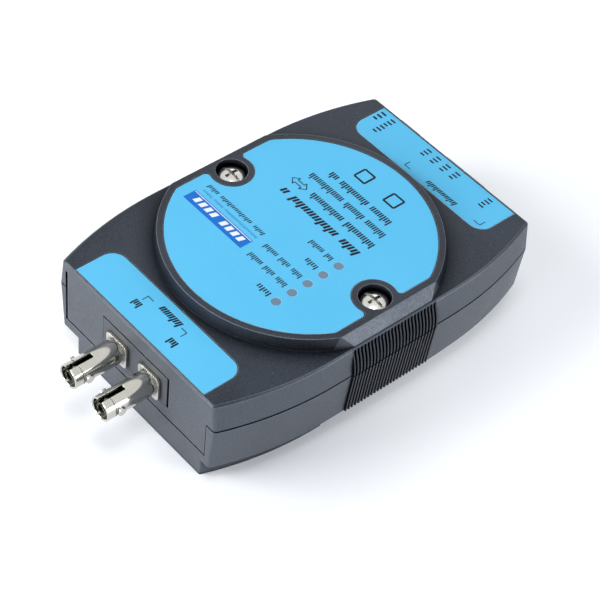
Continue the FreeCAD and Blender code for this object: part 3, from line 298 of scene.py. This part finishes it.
put_out(grain, result, Color=mix(grain, blend, given["Dark"], given["Light"]),
        Roughness=carry(grain, blend, given["Rough Low"], given["Rough High"]),
        Height=maths(grain, "MULTIPLY", fine.outputs["Fac"], given["Depth"]))

# %% [markdown]
# Hands and cloths rub the outward edges of a moulding, which turn smooth and a little pale.  The pale
# edge colour is partly that wear and partly a painted highlight along the edges.  A bevel node rounds
# the normal near an edge: where it leans away from the flat normal, there is an edge.  Inward corners
# lean as well, but they are partly shut in, so open air tells the two apart.

# %% Group: rubbed edges and painted highlight
EDGE_CURVE, EDGE_GAIN = 0.5, 1.3
PATCH_SCALE, PATCH_GAIN = 160.0, 1.8
AIR_REACH = 3.0  # how far open air is looked for, in bevel radii
SHUT_IN = 0.8  # open air at or below this is an inward corner
edges, given, result = new_group(
    "rubbed_edges_and_highlight",
    [("Radius", FLOAT, 0.3 * MM), ("Amount", FLOAT, 1.0), ("Color", COLOR, BLACK),
     ("Edge Color", COLOR, WHITE)],
    [("Color", COLOR), ("Mask", FLOAT), ("Normal", VECTOR)])
soft = add(edges, "ShaderNodeBevel", samples=6, Radius=given["Radius"]).outputs["Normal"]
flat = add(edges, "ShaderNodeNewGeometry").outputs["Normal"]
lean = maths(edges, "SUBTRACT", 1.0, measure(edges, "DOT_PRODUCT", soft, flat), clamp=True)
patchy = add(edges, "ShaderNodeTexNoise", Scale=PATCH_SCALE, Detail=3.0).outputs["Fac"]
edge = maths(edges, "MULTIPLY", maths(edges, "POWER", lean, EDGE_CURVE), EDGE_GAIN)
rub_and_highlight = maths(edges, "MULTIPLY", edge, maths(edges, "MULTIPLY", patchy, PATCH_GAIN))
around = add(edges, "ShaderNodeAmbientOcclusion", samples=6,
             Distance=maths(edges, "MULTIPLY", given["Radius"], AIR_REACH)).outputs["AO"]
outward = maths(edges, "MULTIPLY", maths(edges, "SUBTRACT", around, SHUT_IN), 1 / (1 - SHUT_IN), clamp=True)
# the pale edge: partly rubbed wear, partly a painted highlight
mask = maths(edges, "MULTIPLY", maths(edges, "MULTIPLY", rub_and_highlight, outward), given["Amount"], clamp=True)
put_out(edges, result, Color=mix(edges, mask, given["Color"], given["Edge Color"]), Mask=mask, Normal=soft)

# %% [markdown]
# No light gets far into a gap between two parts.  Soft studio light alone leaves such gaps grey, so
# this group darkens what has little open air: a short reach finds slits and joints, a wide one finds
# hollows such as the spaces between ribs.

# %% Group: dark gaps
GAP_CURVE = 1.6
gaps, given, result = new_group(
    "dark_gaps",
    [("Reach", FLOAT, 1.2 * MM), ("Depth", FLOAT, 1.0), ("Wide Reach", FLOAT, 6.0 * MM),
     ("Wide Depth", FLOAT, 0.0), ("Color", COLOR, BLACK)],
    [("Color", COLOR), ("Mask", FLOAT)])
nearby = add(gaps, "ShaderNodeAmbientOcclusion", samples=8, Distance=given["Reach"]).outputs["AO"]
closed = maths(gaps, "SUBTRACT", 1.0, maths(gaps, "POWER", nearby, GAP_CURVE))
tight = maths(gaps, "MULTIPLY", closed, given["Depth"], clamp=True)
around = add(gaps, "ShaderNodeAmbientOcclusion", samples=8, only_local=True,
             Distance=given["Wide Reach"]).outputs["AO"]
hollow = maths(gaps, "MULTIPLY", maths(gaps, "SUBTRACT", 1.0, around), given["Wide Depth"], clamp=True)
# painted shade in slits, joints and hollows
shut = maths(gaps, "MAXIMUM", tight, hollow)
put_out(gaps, result, Color=mix(gaps, shut, given["Color"], GAP_SHADE_BLACK), Mask=shut)

# %% [markdown]
# The ribbed grips in the middle of the flanks are painted darker than the rest: a painted shade
# over the ribs.  Their faces could get a second material, but the solids' meshes stay as they are,
# so the grips are found by place instead: far out in X and near the middle in Y.

# %% Group: painted shade on the grips
grip, given, result = new_group(
    "grip_shade",
    [("Reach X", FLOAT, 36.3 * MM), ("Half Width", FLOAT, 14.4 * MM),
     ("Color", COLOR, BLACK), ("Grip Color", COLOR, BLACK)],
    [("Color", COLOR), ("Mask", FLOAT)])
axes = axes_of(grip, position(grip))
outboard = maths(grip, "GREATER_THAN", maths(grip, "ABSOLUTE", axes["X"]), given["Reach X"])
amidships = maths(grip, "LESS_THAN", maths(grip, "ABSOLUTE", axes["Y"]), given["Half Width"])
# painted shade: the grip region darker than the rest
grip_shaded = maths(grip, "MULTIPLY", outboard, amidships)
put_out(grip, result, Color=mix(grip, grip_shaded, given["Color"], given["Grip Color"]), Mask=grip_shaded)

# %% [markdown]
# The two shells meet at a parting line, which a box like this shows as a thin black line, the shade
# in the narrow joint.  The solids touch there, so that shade is painted: a narrow black band at the
# level of the joint, everywhere but on the end tongues, where the upper shell hangs down over the joint.

# %% Group: painted shade in the seam
seam, given, result = new_group(
    "seam_line",
    [("Level", FLOAT, 20.7 * MM), ("Half Height", FLOAT, 0.30 * MM),
     ("Beside Tongue", FLOAT, 28.6 * MM), ("Color", COLOR, BLACK)],
    [("Color", COLOR), ("Mask", FLOAT)])
axes = axes_of(seam, position(seam))
off_level = maths(seam, "ABSOLUTE", maths(seam, "SUBTRACT", axes["Z"], given["Level"]))
level_with = maths(seam, "LESS_THAN", off_level, given["Half Height"])
beside = maths(seam, "GREATER_THAN", maths(seam, "ABSOLUTE", axes["X"]), given["Beside Tongue"])
# painted shade: a black band along the parting line
seam_shade = maths(seam, "MULTIPLY", level_with, beside)
put_out(seam, result, Color=mix(seam, seam_shade, given["Color"], GAP_SHADE_BLACK), Mask=seam_shade)

# %% [markdown]
# The walls are painted paler than the tops, in a grainy pattern: painted light on the upright
# walls.  A wall is where the normal is far from upright.  The disc's own wall stays dark, apart from
# the facets that cut its flanks.

# %% Group: painted light on the walls
WALL_CURVE = 1.5
WALL_NOISE_SCALE = 2500.0
WALL_LIGHT_GAIN, WALL_LIGHT_SHIFT = 2.4, -0.15
lit_walls, given, result = new_group(
    "wall_light",
    [("Color", COLOR, BLACK), ("Wall Color", COLOR, BLACK),
     ("Disc Foot", FLOAT, 29.1 * MM), ("Facet X", FLOAT, 33.9 * MM)],
    [("Color", COLOR), ("Mask", FLOAT)])
slope = axes_of(lit_walls, add(lit_walls, "ShaderNodeNewGeometry").outputs["Normal"])
level = maths(lit_walls, "POWER", maths(lit_walls, "ABSOLUTE", slope["Z"]), WALL_CURVE)
upright = maths(lit_walls, "SUBTRACT", 1.0, level, clamp=True)
where = position(lit_walls)
axes = axes_of(lit_walls, where)
low_down = maths(lit_walls, "LESS_THAN", axes["Z"], given["Disc Foot"])
on_facet = maths(lit_walls, "GREATER_THAN", maths(lit_walls, "ABSOLUTE", axes["X"]), given["Facet X"])
reached = maths(lit_walls, "MULTIPLY", upright, maths(lit_walls, "MAXIMUM", low_down, on_facet))
wall_noise = add(lit_walls, "ShaderNodeTexNoise", Vector=where, Scale=WALL_NOISE_SCALE, Detail=3.0).outputs["Fac"]
patches = maths(lit_walls, "ADD", maths(lit_walls, "MULTIPLY", wall_noise, WALL_LIGHT_GAIN), WALL_LIGHT_SHIFT)
# painted light: upright walls made paler
wall_lift = maths(lit_walls, "MULTIPLY", reached, patches, clamp=True)
put_out(lit_walls, result, Color=mix(lit_walls, wall_lift, given["Color"], given["Wall Color"]), Mask=wall_lift)

# %% [markdown]
# Dark plastic shows dust.  Thousands of tiny pieces would be slow, so a cell pattern draws it: one
# dot in each cell, kept only in the few cells whose random colour is high in red.

# %% Group: dust specks
SPECK_SIZE, SPECK_RARITY = 0.12, 0.86  # share of a cell, and of the cells that stay clean
dust, given, result = new_group(
    "dust_specks",
    [("Scale", FLOAT, 620.0), ("Amount", FLOAT, 0.5), ("Color", COLOR, BLACK),
     ("Dust Color", COLOR, (0.5, 0.5, 0.5, 1))],
    [("Color", COLOR), ("Mask", FLOAT)])
cells = add(dust, "ShaderNodeTexVoronoi", feature="F1", Vector=position(dust), Scale=given["Scale"])
near = maths(dust, "LESS_THAN", cells.outputs["Distance"], SPECK_SIZE)
chance = add(dust, "ShaderNodeSeparateColor", Color=cells.outputs["Color"]).outputs["Red"]
chosen = maths(dust, "GREATER_THAN", chance, SPECK_RARITY)
mask = maths(dust, "MULTIPLY", maths(dust, "MULTIPLY", near, chosen), given["Amount"], clamp=True)
put_out(dust, result, Color=mix(dust, mask, given["Color"], given["Dust Color"]), Mask=mask)

# %% [markdown]
# Turned metal carries fine lines square to its axis.  They are far too fine to model, so noise is
# squeezed onto that axis until it only changes along it, and drives the bump and the tones.  A
# second noise adds the faint stains that plating has.

# %% Group: turned metal
STAIN_SCALE = 300.0
LINE_SHARE, STAIN_SHARE = 0.5, 0.5
turned, given, result = new_group(
    "turned_metal",
    [("Lines", FLOAT, 2600.0), ("Dark", COLOR, BLACK), ("Light", COLOR, WHITE),
     ("Rough Low", FLOAT, 0.15), ("Rough High", FLOAT, 0.3), ("Along", VECTOR, (0, 1, 0))],
    [("Color", COLOR), ("Roughness", FLOAT), ("Height", FLOAT)])
where = position(turned)
squeezed = add(turned, "ShaderNodeVectorMath", operation="MULTIPLY")
feed(turned, where, squeezed.inputs[0])
feed(turned, given["Along"], squeezed.inputs[1])
tool_lines = add(turned, "ShaderNodeTexNoise", Vector=squeezed.outputs["Vector"], Scale=given["Lines"],
                 Detail=1.0).outputs["Fac"]
stain = add(turned, "ShaderNodeTexNoise", Vector=where, Scale=STAIN_SCALE, Detail=3.0).outputs["Fac"]
blend = maths(turned, "ADD", maths(turned, "MULTIPLY", tool_lines, LINE_SHARE),
              maths(turned, "MULTIPLY", stain, STAIN_SHARE))
put_out(turned, result, Color=mix(turned, blend, given["Dark"], given["Light"]),
        Roughness=carry(turned, blend, given["Rough Low"], given["Rough High"]), Height=tool_lines)

# %% [markdown]
# ## Moulded plastic
# Two families of finish cover the whole object.  A moulding has a dark and a light tone of one
# colour, a fine grain in its bump, and paler edges that are partly rubbed and partly a painted
# highlight.  One function builds the family, so a finish is one call.  Its gaps get a painted shade,
# and black metal has no shine at all, so the mask of the gaps also feeds Metallic, which keeps the
# gaps black where plain dark plastic would still mirror the white tent.

# %% A function for mouldings
finishes = {}
GAP_REACH = 1.2
DUST_COLOUR = (0.35, 0.37, 0.4, 1)
EDGE_POLISH = 0.5  # share of the roughness that rubbing takes away
GRAIN_BUMP, GRAIN_HEIGHT = 0.25, 0.05 * MM


def moulded(name, dark, light, rough=(0.4, 0.6), grain_scale=900.0, grain_depth=0.3, contrast=1.0,
            edge=0.35, edge_radius=0.3, edge_colour=(0.3, 0.32, 0.35), specks=0.0, specular=0.5,
            tint=(1, 1, 1), gap_depth=0.9, wide_depth=0.0, grip_colour=None, wall_colour=None):
    """Make a grained moulding; colours are linear, edge_radius is in millimetres."""
    material = bpy.data.materials.new(name)
    material.use_nodes = True
    tree = material.node_tree
    shader = tree.nodes["Principled BSDF"]
    shader.inputs["Specular IOR Level"].default_value = specular
    shader.inputs["Specular Tint"].default_value = (*tint, 1)
    texture = place_group(tree, grain, Scale=grain_scale, Depth=grain_depth, Contrast=contrast,
                          Dark=(*dark, 1), Light=(*light, 1), Rough_Low=rough[0], Rough_High=rough[1])
    colour = texture["Color"]
    # painted light: upright walls paler than the tops
    if wall_colour:
        colour = place_group(tree, lit_walls, Color=colour, Wall_Color=(*wall_colour, 1))["Color"]
    wear_and_highlight = place_group(tree, edges, Color=colour, Radius=edge_radius * MM, Amount=edge,
                         Edge_Color=(*edge_colour, 1))
    colour = wear_and_highlight["Color"]
    if specks:
        colour = place_group(tree, dust, Color=colour, Amount=specks, Dust_Color=DUST_COLOUR)["Color"]
    # painted shade: the grips darker than the rest
    if grip_colour:
        colour = place_group(tree, grip, Color=colour, Grip_Color=(*grip_colour, 1))["Color"]
    # painted shade in gaps and hollows
    if gap_depth:
        shaded = place_group(tree, gaps, Color=colour, Reach=GAP_REACH * MM, Depth=gap_depth,
                             Wide_Depth=wide_depth)
        colour, shut = shaded["Color"], shaded["Mask"]
        if grip_colour:
            seamed = place_group(tree, seam, Color=colour)
            colour, shut = seamed["Color"], maths(tree, "MAXIMUM", shut, seamed["Mask"])
        feed(tree, shut, shader.inputs["Metallic"])
    feed(tree, colour, shader.inputs["Base Color"])
    polish = maths(tree, "SUBTRACT", 1.0, maths(tree, "MULTIPLY", wear_and_highlight["Mask"], EDGE_POLISH))
    feed(tree, maths(tree, "MULTIPLY", texture["Roughness"], polish), shader.inputs["Roughness"])
    bump = add(tree, "ShaderNodeBump", Strength=GRAIN_BUMP, Distance=GRAIN_HEIGHT,
               Height=texture["Height"], Normal=wear_and_highlight["Normal"])
    feed(tree, bump.outputs["Normal"], shader.inputs["Normal"])
    finishes[name] = material


print("moulded plastic ready")

# %% [markdown]
# ## Plated metal
# The other family is metal: plated brass ports and screws, sheet steel, gold on the contacts.  It
# needs only two close tones, tool lines along one axis, crisp pale edges that are partly a painted
# highlight, and painted shade in its joints, since most of its look is the white tent that it mirrors.

# %% A function for metals
METAL_EDGE_RADIUS, METAL_EDGE_AMOUNT = 0.12, 0.2
METAL_EDGE_COLOUR = (0.95, 0.94, 0.9, 1)
METAL_GAP_DEPTH = 0.85
METAL_BUMP, METAL_HEIGHT = 0.08, 0.02 * MM


def plated(name, dark, light, rough=(0.15, 0.3), lines=2600.0, along=(0, 1, 0), gap_reach=0.8):
    """Make bright metal with fine tool lines along one axis; gap_reach is in millimetres."""
    material = bpy.data.materials.new(name)
    material.use_nodes = True
    tree = material.node_tree
    shader = tree.nodes["Principled BSDF"]
    shader.inputs["Metallic"].default_value = 1.0
    texture = place_group(tree, turned, Lines=lines, Dark=(*dark, 1), Light=(*light, 1),
                          Rough_Low=rough[0], Rough_High=rough[1], Along=along)
    wear_and_highlight = place_group(tree, edges, Color=texture["Color"], Radius=METAL_EDGE_RADIUS * MM,
                         Amount=METAL_EDGE_AMOUNT, Edge_Color=METAL_EDGE_COLOUR)
    # painted shade in the metal's joints
    shaded = place_group(tree, gaps, Color=wear_and_highlight["Color"], Reach=gap_reach * MM, Depth=METAL_GAP_DEPTH)
    feed(tree, shaded["Color"], shader.inputs["Base Color"])
    feed(tree, texture["Roughness"], shader.inputs["Roughness"])
    bump = add(tree, "ShaderNodeBump", Strength=METAL_BUMP, Distance=METAL_HEIGHT,
               Height=texture["Height"], Normal=wear_and_highlight["Normal"])
    feed(tree, bump.outputs["Normal"], shader.inputs["Normal"])
    finishes[name] = material


print("plated metal ready")

# %% [markdown]
# ## The finishes of this object
# Both shells are the same near-black plastic with a cool cast.  The label films are a clear sky
# blue with a pale cut edge, and the lamp windows are smoky.  The parts inside get ordinary colours
# for their kind: green board, black chips, bright cans.

# %% Plastics
# grip_colour paints shade on the grips, wall_colour paints light on the walls, wide_depth paints shade
# between the ribs, and edge_colour is partly a painted highlight
CASE = dict(rough=(0.32, 0.52), grain_scale=2400, grain_depth=0.8, contrast=5.0, edge=1.1,
            edge_radius=0.35, edge_colour=(0.27, 0.29, 0.32), specks=0.12, tint=(0.76, 0.85, 1.0),
            grip_colour=(0.003, 0.005, 0.010), wall_colour=(0.060, 0.067, 0.080), wide_depth=2.0)
for name in ("case_upper", "case_lower"):
    moulded(name, (0.000, 0.000, 0.003), (0.019, 0.025, 0.037), **CASE)
moulded("insert_plate", (0.040, 0.045, 0.055), (0.060, 0.067, 0.080), rough=(0.4, 0.55),
        grain_scale=1800, edge=0.2)
moulded("label_film", (0.085, 0.480, 0.790), (0.122, 0.555, 0.880), rough=(0.45, 0.6), grain_scale=2600,
        grain_depth=0.15, contrast=1.6, edge=1.0, edge_colour=(0.70, 0.88, 0.97), specular=0.30,
        gap_depth=0.0)
moulded("light_window", (0.09, 0.15, 0.22), (0.19, 0.27, 0.38), rough=(0.3, 0.5), grain_scale=2600,
        edge=0.3, edge_radius=0.1, gap_depth=0.0)
moulded("module_black", (0.010, 0.010, 0.011), (0.022, 0.022, 0.024), rough=(0.5, 0.7))
moulded("board_green", (0.008, 0.060, 0.030), (0.015, 0.095, 0.045), rough=(0.3, 0.45), grain_scale=400,
        specular=0.6)
moulded("chip_black", (0.010, 0.010, 0.011), (0.025, 0.025, 0.027), rough=(0.55, 0.75))
moulded("socket_black", (0.012, 0.012, 0.013), (0.026, 0.026, 0.028), rough=(0.35, 0.5))
moulded("terminal_green", (0.010, 0.110, 0.040), (0.020, 0.160, 0.060), rough=(0.35, 0.5), edge=0.25,
        edge_colour=(0.1, 0.35, 0.18))
moulded("lamp_clear", (0.62, 0.62, 0.55), (0.80, 0.80, 0.72), rough=(0.2, 0.3), edge=0.1)
print("finishes of plastic:", len(finishes))

# %% Metals
plastics = len(finishes)
plated("nickel", (0.48, 0.475, 0.43), (0.68, 0.675, 0.62), rough=(0.08, 0.16))
plated("screw_nickel", (0.48, 0.475, 0.44), (0.80, 0.79, 0.75), rough=(0.16, 0.30), lines=1200,
       along=(1, 1, 0), gap_reach=1.3)
plated("bore_steel", (0.16, 0.16, 0.16), (0.30, 0.30, 0.29), rough=(0.16, 0.30))
plated("spring_steel", (0.45, 0.46, 0.47), (0.62, 0.63, 0.64), rough=(0.22, 0.38), along=(1, 0, 1))
plated("can_aluminium", (0.62, 0.63, 0.64), (0.80, 0.81, 0.82), rough=(0.25, 0.4), along=(1, 1, 0))
plated("contact_gold", (0.72, 0.50, 0.18), (0.95, 0.72, 0.32), rough=(0.15, 0.28))
print("finishes of metal:", len(finishes) - plastics)

# %% [markdown]
# ## Dress the solids
# Every solid gets one finish by its name.  The six clamps and their screws are plain steel, and the
# rest of the terminals is told apart by the ends of the names: contacts are gilt, bodies green.

# %% Give every solid its finish
FINISH_OF = {
    "upper_shell": "case_upper", "lower_shell": "case_lower", "port_insert": "insert_plate",
    "case_screws": "screw_nickel", "label_top": "label_film", "label_fibre": "label_film",
    "label_rear": "label_film", "light_pipes": "light_window", "optical_module_1": "module_black",
    "optical_module_2": "module_black", "fibre_port_1": "nickel", "fibre_port_2": "nickel",
    "ferrule_sleeve_1": "bore_steel", "ferrule_sleeve_2": "bore_steel", "circuit_board": "board_green",
    "board_screws": "spring_steel", "converter_chip": "chip_black", "port_chip": "chip_black",
    "line_transformer": "chip_black", "crystal": "can_aluminium", "power_inductor": "chip_black",
    "smoothing_capacitors": "can_aluminium", "status_lamps": "lamp_clear", "jack_shield": "spring_steel",
    "jack_insert": "socket_black", "jack_contacts": "contact_gold",
}


def finish_for(name):
    """The finish of one solid, from the table or from its name."""
    if name in FINISH_OF:
        return FINISH_OF[name]
    if name.startswith("terminal_"):
        return "spring_steel"
    return "contact_gold" if name.endswith(("_pins", "_contacts")) else "terminal_green"


for name, solid in nodes.items():
    solid.data.materials.clear()
    solid.data.materials.append(finishes[finish_for(name)])
print("painted", len(nodes), "solids")

# %% [markdown]
# ## Print on the labels
# The print is a thin film of ink.  It could be a drawing in the material, but ink cut as very thin
# slabs stays sharp at any size and needs no picture.  Its words are plain upright bars that spell
# nothing and its marks are simple shapes: they say where the print is and how heavy it is.

# %% Inks
moulded("ink_dark", (0.002, 0.004, 0.010), (0.006, 0.010, 0.020), rough=(0.45, 0.6), grain_scale=2600,
        edge=0.0, specular=0.2)
moulded("ink_blue", (0.001, 0.135, 0.560), (0.003, 0.165, 0.640), rough=(0.4, 0.55), grain_scale=2600,
        edge=0.0, specular=0.25)
moulded("ink_white", (0.78, 0.84, 0.90), (0.88, 0.92, 0.96), rough=(0.4, 0.55), grain_scale=2600, edge=0.0)
moulded("ink_sky", (0.020, 0.250, 0.590), (0.030, 0.290, 0.650), rough=(0.4, 0.55), grain_scale=2600,
        edge=0.0)
TOP_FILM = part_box("label_top")[1][2]
END_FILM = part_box("label_fibre")[1][2]
print("film tops, millimetres:", round(TOP_FILM / MM, 2), round(END_FILM / MM, 2))

# %% A slab of ink from outlines
INK_THICK = 0.02 * MM


def ink(name, outlines, level, finish):
    """Print marks; outlines are lists of (x, y) in millimetres, level is the film's top in metres."""
    verts, faces = [], []
    for loop in outlines:
        start, count = len(verts), len(loop)
        verts += [(x * MM, y * MM, level) for x, y in loop]
        verts += [(x * MM, y * MM, level + INK_THICK) for x, y in loop]
        faces.append(list(range(start + count - 1, start - 1, -1)))
        faces.append(list(range(start + count, start + 2 * count)))
        for index in range(count):
            after = (index + 1) % count
            faces.append([start + index, start + after, start + count + after, start + count + index])
    mesh = bpy.data.meshes.new(name)
    mesh.from_pydata(verts, [], faces)
    mesh.materials.append(finishes[finish])
    piece = bpy.data.objects.new(name, mesh)
    bpy.context.scene.collection.objects.link(piece)
    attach(piece, "case")
    print(name, "has", len(outlines), "marks")


print("ink is", round(INK_THICK / MM, 3), "mm thick")

# %% A line of words
# bars for each letter, as (left, low, right, high) shares of the letter's cell
STROKES = [
    [(0.00, 0.00, 0.27, 1.00), (0.48, 0.00, 0.75, 0.70)],
    [(0.00, 0.00, 0.27, 0.70), (0.48, 0.00, 0.75, 0.70)],
    [(0.00, 0.00, 0.27, 0.70), (0.48, 0.00, 0.75, 1.00)],
    [(0.00, 0.00, 0.27, 0.70), (0.48, 0.00, 0.75, 0.70)],
    [(0.00, 0.00, 0.27, 0.70), (0.48, 0.00, 0.75, 0.70)],
]
# one bar a letter, for words too small to carry two
SMALL_STROKES = [[(0.05, 0.00, 0.47, 1.00)], [(0.05, 0.00, 0.47, 0.80)], [(0.05, 0.00, 0.47, 1.00)]]
WORD_GAP = 0.8  # in letters


def line_of_words(x0, x1, y, tall, letters, slant=0.0, bold=0.0, cells=STROKES):
    """Bars of one printed line from x0 to x1; letters is how many each word has."""
    pitch = (x1 - x0) / (sum(letters) + WORD_GAP * (len(letters) - 1))
    strokes, at, turn = [], x0, 0
    for count in letters:
        for _ in range(count):
            for left, low, right, high in cells[turn * 2 % len(cells)]:
                a, b = at + left * pitch - bold, at + right * pitch + bold
                c, d = y + (low - 0.5) * tall, y + (high - 0.5) * tall
                lean_c, lean_d = slant * (c - y), slant * (d - y)
                strokes.append([(a + lean_c, c), (b + lean_c, c), (b + lean_d, d), (a + lean_d, d)])
            at += pitch
            turn += 1
        at += WORD_GAP * pitch
        turn += 1
    return strokes


print("a sample word of five letters has", len(line_of_words(0, 5, 0, 1, [5])), "bars")

# %% [markdown]
# ### Round label
# Five short lines name the lamps, four larger ones say what the box is, and a small slanted one
# runs under the colour panel.

# %% Words on the round label
LINE_START = -12.2
LAMP_LINES = ((21.3, -7.3, [3]), (16.0, 2.4, [3, 3, 4]), (10.9, 2.3, [3, 3, 4]), (5.6, -7.8, [3]),
              (0.4, -3.5, [2, 4]))  # y, where the line ends, letters in each word
marks = []
for y, x_end, letters in LAMP_LINES:
    marks += line_of_words(LINE_START, x_end, y, 1.9, letters)
marks += line_of_words(-14.4, 15.9, -6.1, 2.8, [3, 8, 1], slant=0.25, bold=0.09)
marks += line_of_words(-14.9, 9.6, -11.2, 2.5, [7, 8], bold=0.03)
marks += line_of_words(-13.8, 15.5, -16.0, 2.5, [5, 5, 9], bold=0.02)
marks += line_of_words(-11.2, 12.7, -20.5, 2.5, [5, 7, 2], bold=0.03)
marks += line_of_words(5.2, 28.0, 8.7, 1.5, [3, 9, 3], slant=0.2)
ink("print_round_label", marks, TOP_FILM, "ink_dark")


# %% Symbols on the round label
def bar(x0, y0, x1, y1, thick):
    """A straight stroke between two points."""
    run = math.hypot(x1 - x0, y1 - y0)
    ox, oy = -(y1 - y0) / run * thick / 2, (x1 - x0) / run * thick / 2
    return [(x0 - ox, y0 - oy), (x1 - ox, y1 - oy), (x1 + ox, y1 + oy), (x0 + ox, y0 + oy)]


def chain(points, thick):
    """Straight strokes from point to point."""
    return [bar(*points[i], *points[i + 1], thick) for i in range(len(points) - 1)]


def plain_square(x, y, side, thick):
    """The outline of a square, in place of a mark."""
    h = side / 2
    return chain([(x - h, y - h), (x + h, y - h), (x + h, y + h), (x - h, y + h), (x - h, y - h)], thick)


both_ways = [(17.0, -11.4), (15.4, -9.9), (15.4, -10.8), (12.9, -10.8), (12.9, -9.9), (11.3, -11.4),
             (12.9, -12.9), (12.9, -12.0), (15.4, -12.0), (15.4, -12.9), (17.0, -11.4)]
symbols = chain(both_ways, 0.28)
symbols += plain_square(-5.6, -27.4, 4.0, 0.6) + plain_square(6.0, -27.4, 4.0, 0.6)
ink("print_symbols", symbols, TOP_FILM, "ink_dark")

# %% Colour panel on the round label
(left, right), (low, high) = (4.9, 28.4), (12.4, 16.6)
ink("print_panel", [[(left, low), (right, low), (right, high), (left, high)]], TOP_FILM, "ink_blue")
panel_marks = [[(x, 13.4), (x + 1.5, 13.4), (x + 2.1, 15.4), (x + 0.6, 15.4)]
               for x in (6.4, 8.7, 11.0, 13.3, 17.2, 19.5, 21.8, 24.1)]
panel_marks += chain([(left + 0.3, low + 0.35), (right - 0.3, low + 0.35)], 0.25)
ink("print_panel_marks", panel_marks, TOP_FILM + INK_THICK, "ink_white")
ink("print_tagline", line_of_words(5.3, 27.4, 10.9, 0.8, [14, 4, 4]), TOP_FILM, "ink_sky")
print("panel", round(right - left, 1), "by", round(high - low, 1), "mm")

# %% [markdown]
# ### End labels
# The fibre end has a short word for each port and one between two corner brackets.  The rear end
# names each terminal with a small word that runs along the case, and brackets the four that belong
# together.

# %% Print on the fibre end's label
BRACKET_THICK = 0.25
fibre_marks = line_of_words(6.4, 9.2, 47.9, 2.4, [2], bold=0.06)
fibre_marks += line_of_words(-9.4, -6.4, 48.9, 2.4, [2], bold=0.06)
fibre_marks += line_of_words(-4.7, 3.3, 43.9, 2.5, [5], slant=0.25, bold=0.07)
for side in (-1, 1):
    fibre_marks += chain([(side * 7.8, 45.9), (side * 7.8, 43.9), (side * 5.6, 43.9)], BRACKET_THICK)
ink("print_fibre_label", fibre_marks, END_FILM, "ink_dark")


# %% Print on the rear end's label
def along_case(x, y0, y1, tall, letters):
    """A small word that runs along the case, turned by a quarter."""
    return [[(x - (py - x), px) for px, py in loop]
            for loop in line_of_words(y0, y1, x, tall, letters, cells=SMALL_STROKES)]


WORD_START = -51.6
TERMINAL_WORDS = ((24.2, -47.0, [3]), (20.4, -43.6, [6]), (5.6, -47.9, [3]), (1.8, -47.9, [3]),
                  (-2.0, -47.9, [3]), (-5.8, -47.9, [3]), (-18.4, -46.9, [4]))  # x, end, letters
rear_marks = []
for x, y_end, letters in TERMINAL_WORDS:
    rear_marks += along_case(x, WORD_START, y_end, 1.9, letters)
rear_marks += line_of_words(-14.0, -2.6, -42.3, 1.9, [8], slant=0.25, bold=0.03)
rear_marks += chain([(5.5, -44.0), (5.5, -42.0), (3.3, -42.0)], BRACKET_THICK)
rear_marks += chain([(-23.6, -44.4), (-23.6, -42.4), (-21.2, -42.4)], BRACKET_THICK)
ink("print_rear_label", rear_marks, END_FILM, "ink_dark")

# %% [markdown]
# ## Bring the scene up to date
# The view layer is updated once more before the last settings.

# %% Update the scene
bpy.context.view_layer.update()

# %% Finish
scene = bpy.context.scene
scene.view_settings.view_transform = "Standard"
